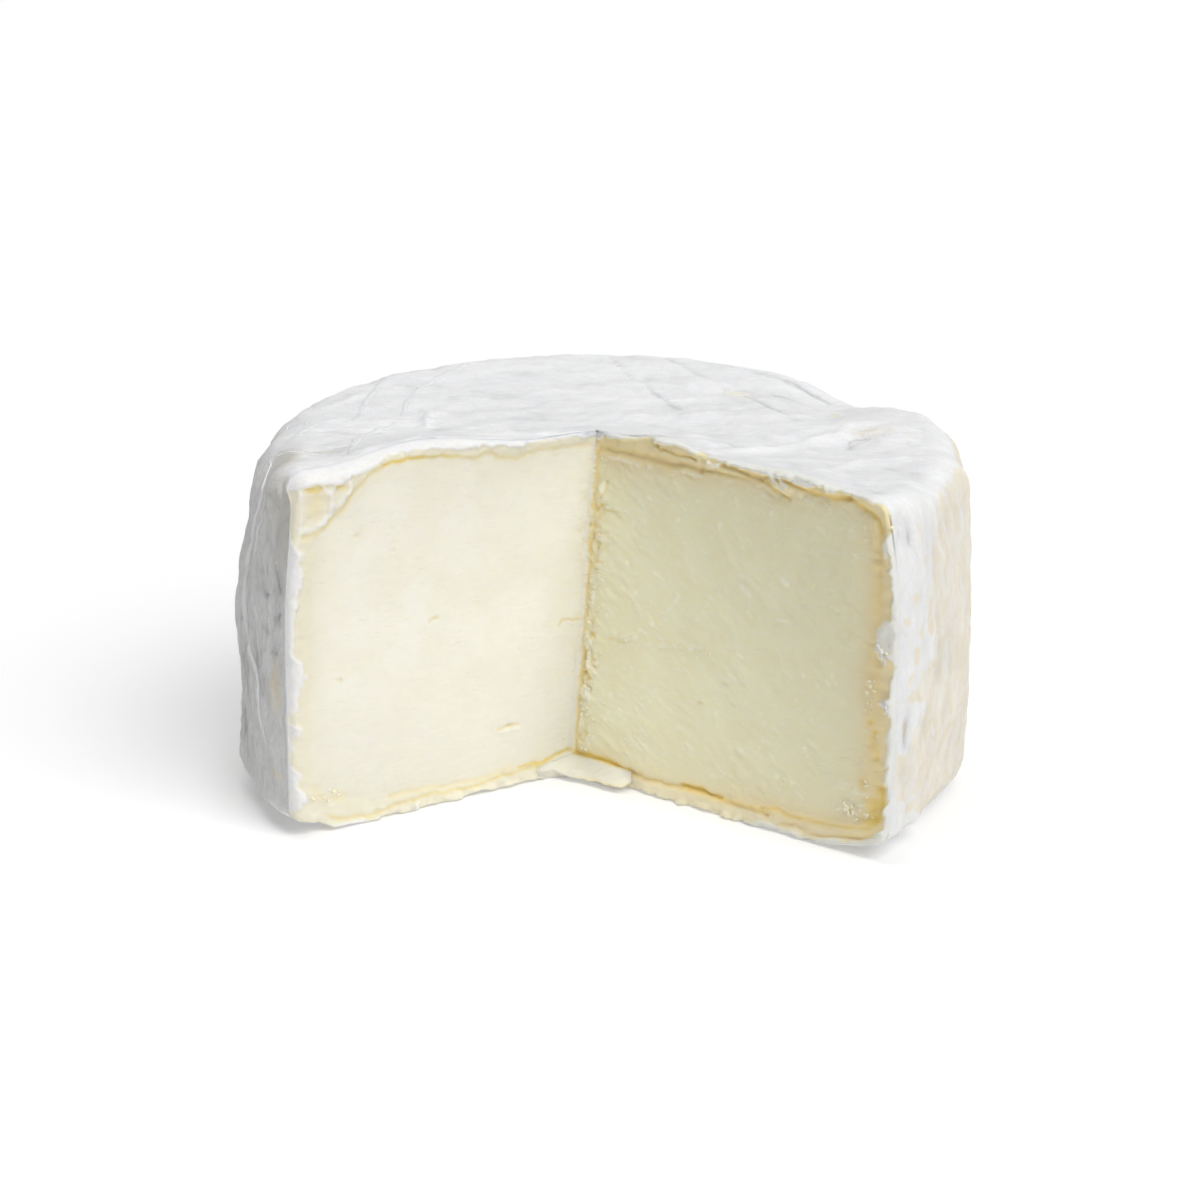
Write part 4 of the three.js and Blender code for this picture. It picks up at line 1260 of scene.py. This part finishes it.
# Where crumbs lie on a face: side, run, height, spread along each, how many, and size.
CRUMB_PATCHES = (
    (1, 1.2, 26, 0.6, 13, 70, 0.26),
    (1, 2.2, 22, 0.9, 10, 45, 0.22),
    (1, 20, 24, 3, 0.35, 16, 0.2),
    (1, 8, 22.8, 2, 0.3, 12, 0.2),
    (1, 40, 32.1, 1.8, 0.3, 9, 0.22),
    (1, 53, 6.3, 1.8, 0.7, 30, 0.3),
    (1, 55, 10.5, 0.6, 2.2, 12, 0.25),
    (1, 54.8, 24.8, 0.35, 1.5, 14, 0.28),
    (1, 56.4, 26, 0.4, 8, 8, 0.22),
    (1, 22, 36, 12, 9, 30, 0.16),
    (-1, 43.5, 5.6, 1.6, 0.5, 12, 0.3),
    (-1, 0.8, 26, 0.4, 12, 20, 0.16),
)
# Where tufts lie: side, run, height, length, and degrees they lean from level.
TUFTS = (
    (1, 57.0, 31.4, 1.5, -50),
    (1, 57.4, 30.2, 1.1, -70),
    (1, 57.8, 23.6, 1.2, -20),
    (1, 57.4, 24.2, 0.9, 25),
)


def on_cut(side, run, z):
    """Points on a cut face's surface, and its outward direction there."""
    relief, _ = cut_face(side, run, z)
    turn = 0.0 if side > 0 else 1.0
    bearing = bearing_at(turn, z)
    out = -side * stacked(np.cos(bearing), np.sin(bearing), 0)
    return place(turn, run, z) - out * relief[:, None], out


def lump_into(bm, centre, basis, halves):
    stretch = Matrix.Diagonal((*(Vector(halves) * MM), 1))
    there = Matrix.Translation(Vector((centre + AXIS) * MM))
    bmesh.ops.create_icosphere(bm, subdivisions=2, radius=1, matrix=there @ basis.to_4x4() @ stretch)


def roughen(piece, height, size, seed):
    points, normals = vertices_of(piece)
    set_vertices(piece, points + normals * (height * soft_noise(points, size, seed))[:, None])


random = np.random.default_rng(5)
bm = bmesh.new()
for side, run_at, height_at, run_spread, height_spread, count, size in CRUMB_PATCHES:
    runs = np.abs(random.normal(run_at, run_spread, count)) + 0.3
    heights = np.clip(random.normal(height_at, height_spread, count), 4.2, 49.5)
    centres, out = on_cut(side, runs, heights)
    for centre in centres:
        halves = size * random.uniform(0.5, 1.4, 3)
        lump_into(bm, centre - 0.4 * size * out[0], Euler(random.uniform(0, 6.28, 3)).to_matrix(), halves)
crumbs = closed_piece(bm, "paste_crumbs")
roughen(crumbs, 0.13, 0.3, 79)


def crumb_finish():
    material, tree, shader, coordinates = new_material("paste_crumb_finish")
    cloud = noise(tree, coordinates, 900, 3)
    tint = mixed(tree, cloud, (0.85, 0.785, 0.55), (0.93, 0.88, 0.69))
    rough = bumped(tree, noise(tree, coordinates, 4000, 2), 0.5, 0.0001)
    wire(tree, shader, Base_Color=tint, Roughness=times_plus(tree, cloud, 0.2, 0.5))
    wire(tree, shader, Normal=rough, Specular_IOR_Level=0.2)
    return material


belongs(crumbs, crumb_finish())

bm = bmesh.new()
for side, run_at, height_at, length, lean in TUFTS:
    (centre,), (out,) = on_cut(side, np.array([run_at]), np.array([height_at]))
    level = unit(np.cross((0, 0, 1), out)) * side
    lean = np.radians(lean + random.uniform(-12, 12))
    along = np.cos(lean) * level + np.sin(lean) * np.array([0, 0, 1])
    basis = Matrix((along, np.cross(out, along), out)).transposed()
    for _ in range(3):
        offset = along * random.uniform(-0.4, 0.4) * length + out * random.uniform(0.1, 0.3)
        twist = Matrix.Rotation(random.uniform(-0.5, 0.5), 3, "Z")
        shares = [random.uniform(low, high) for low, high in ((0.3, 0.5), (0.12, 0.2), (0.1, 0.16))]
        lump_into(bm, centre + offset, basis @ twist, length * np.array(shares))
tufts = closed_piece(bm, "rind_tufts")
roughen(tufts, 0.12, 0.5, 78)
belongs(tufts, RIND_FINISH)

# ---------------------------------------------------------------- floor, light and camera
# A pale matt table top under the cheese. A large soft light comes from the right front and another from
# above, in a dim even room.

bm = bmesh.new()
bmesh.ops.create_grid(bm, x_segments=1, y_segments=1, size=4)
floor = piece_of(bm, "floor")
floor_finish, tree, shader, coordinates = new_material("pale_floor")
floor_tint = mixed(tree, noise(tree, coordinates, 3, 2), (0.74, 0.74, 0.74), (0.76, 0.76, 0.76))
wire(tree, shader, Base_Color=floor_tint, Roughness=1, Specular_IOR_Level=0)
wire(tree, shader, Emission_Color=(1, 1, 1), Emission_Strength=0.235)
floor.data.materials.append(floor_finish)


def soft_sun(name, direction, spread, strength):
    data = bpy.data.lights.new(name, "SUN")
    data.angle = np.radians(spread)
    data.energy = strength
    in_scene(name, data).rotation_euler = Vector(direction).to_track_quat("Z", "Y").to_euler()


soft_sun("key", (0.404, -0.508, 0.762), 45, 2.41)
soft_sun("overhead", (-0.1, 0.1, 1), 40, 1.3)

world = bpy.data.worlds.new("dim_room")
world.use_nodes = True
wire(world.node_tree, world.node_tree.nodes["Background"], Color=(1, 1, 1), Strength=0.03)
bpy.context.scene.world = world
bpy.context.scene.view_settings.view_transform = "Standard"

CAMERA_TILT = np.radians(16)
CAMERA_AWAY = 480.0
AIM = Vector((-1.04, AXIS[1], 27.48)) * MM
camera_data = bpy.data.cameras.new("camera")
camera_data.sensor_width = 36
camera_data.lens = 95.5
camera_data.clip_end = 20
camera = in_scene("camera", camera_data)
camera.location = AIM + CAMERA_AWAY * MM * Vector((0, -np.cos(CAMERA_TILT), np.sin(CAMERA_TILT)))
camera.rotation_euler = (np.pi / 2 - CAMERA_TILT, 0, 0)
bpy.context.scene.camera = camera
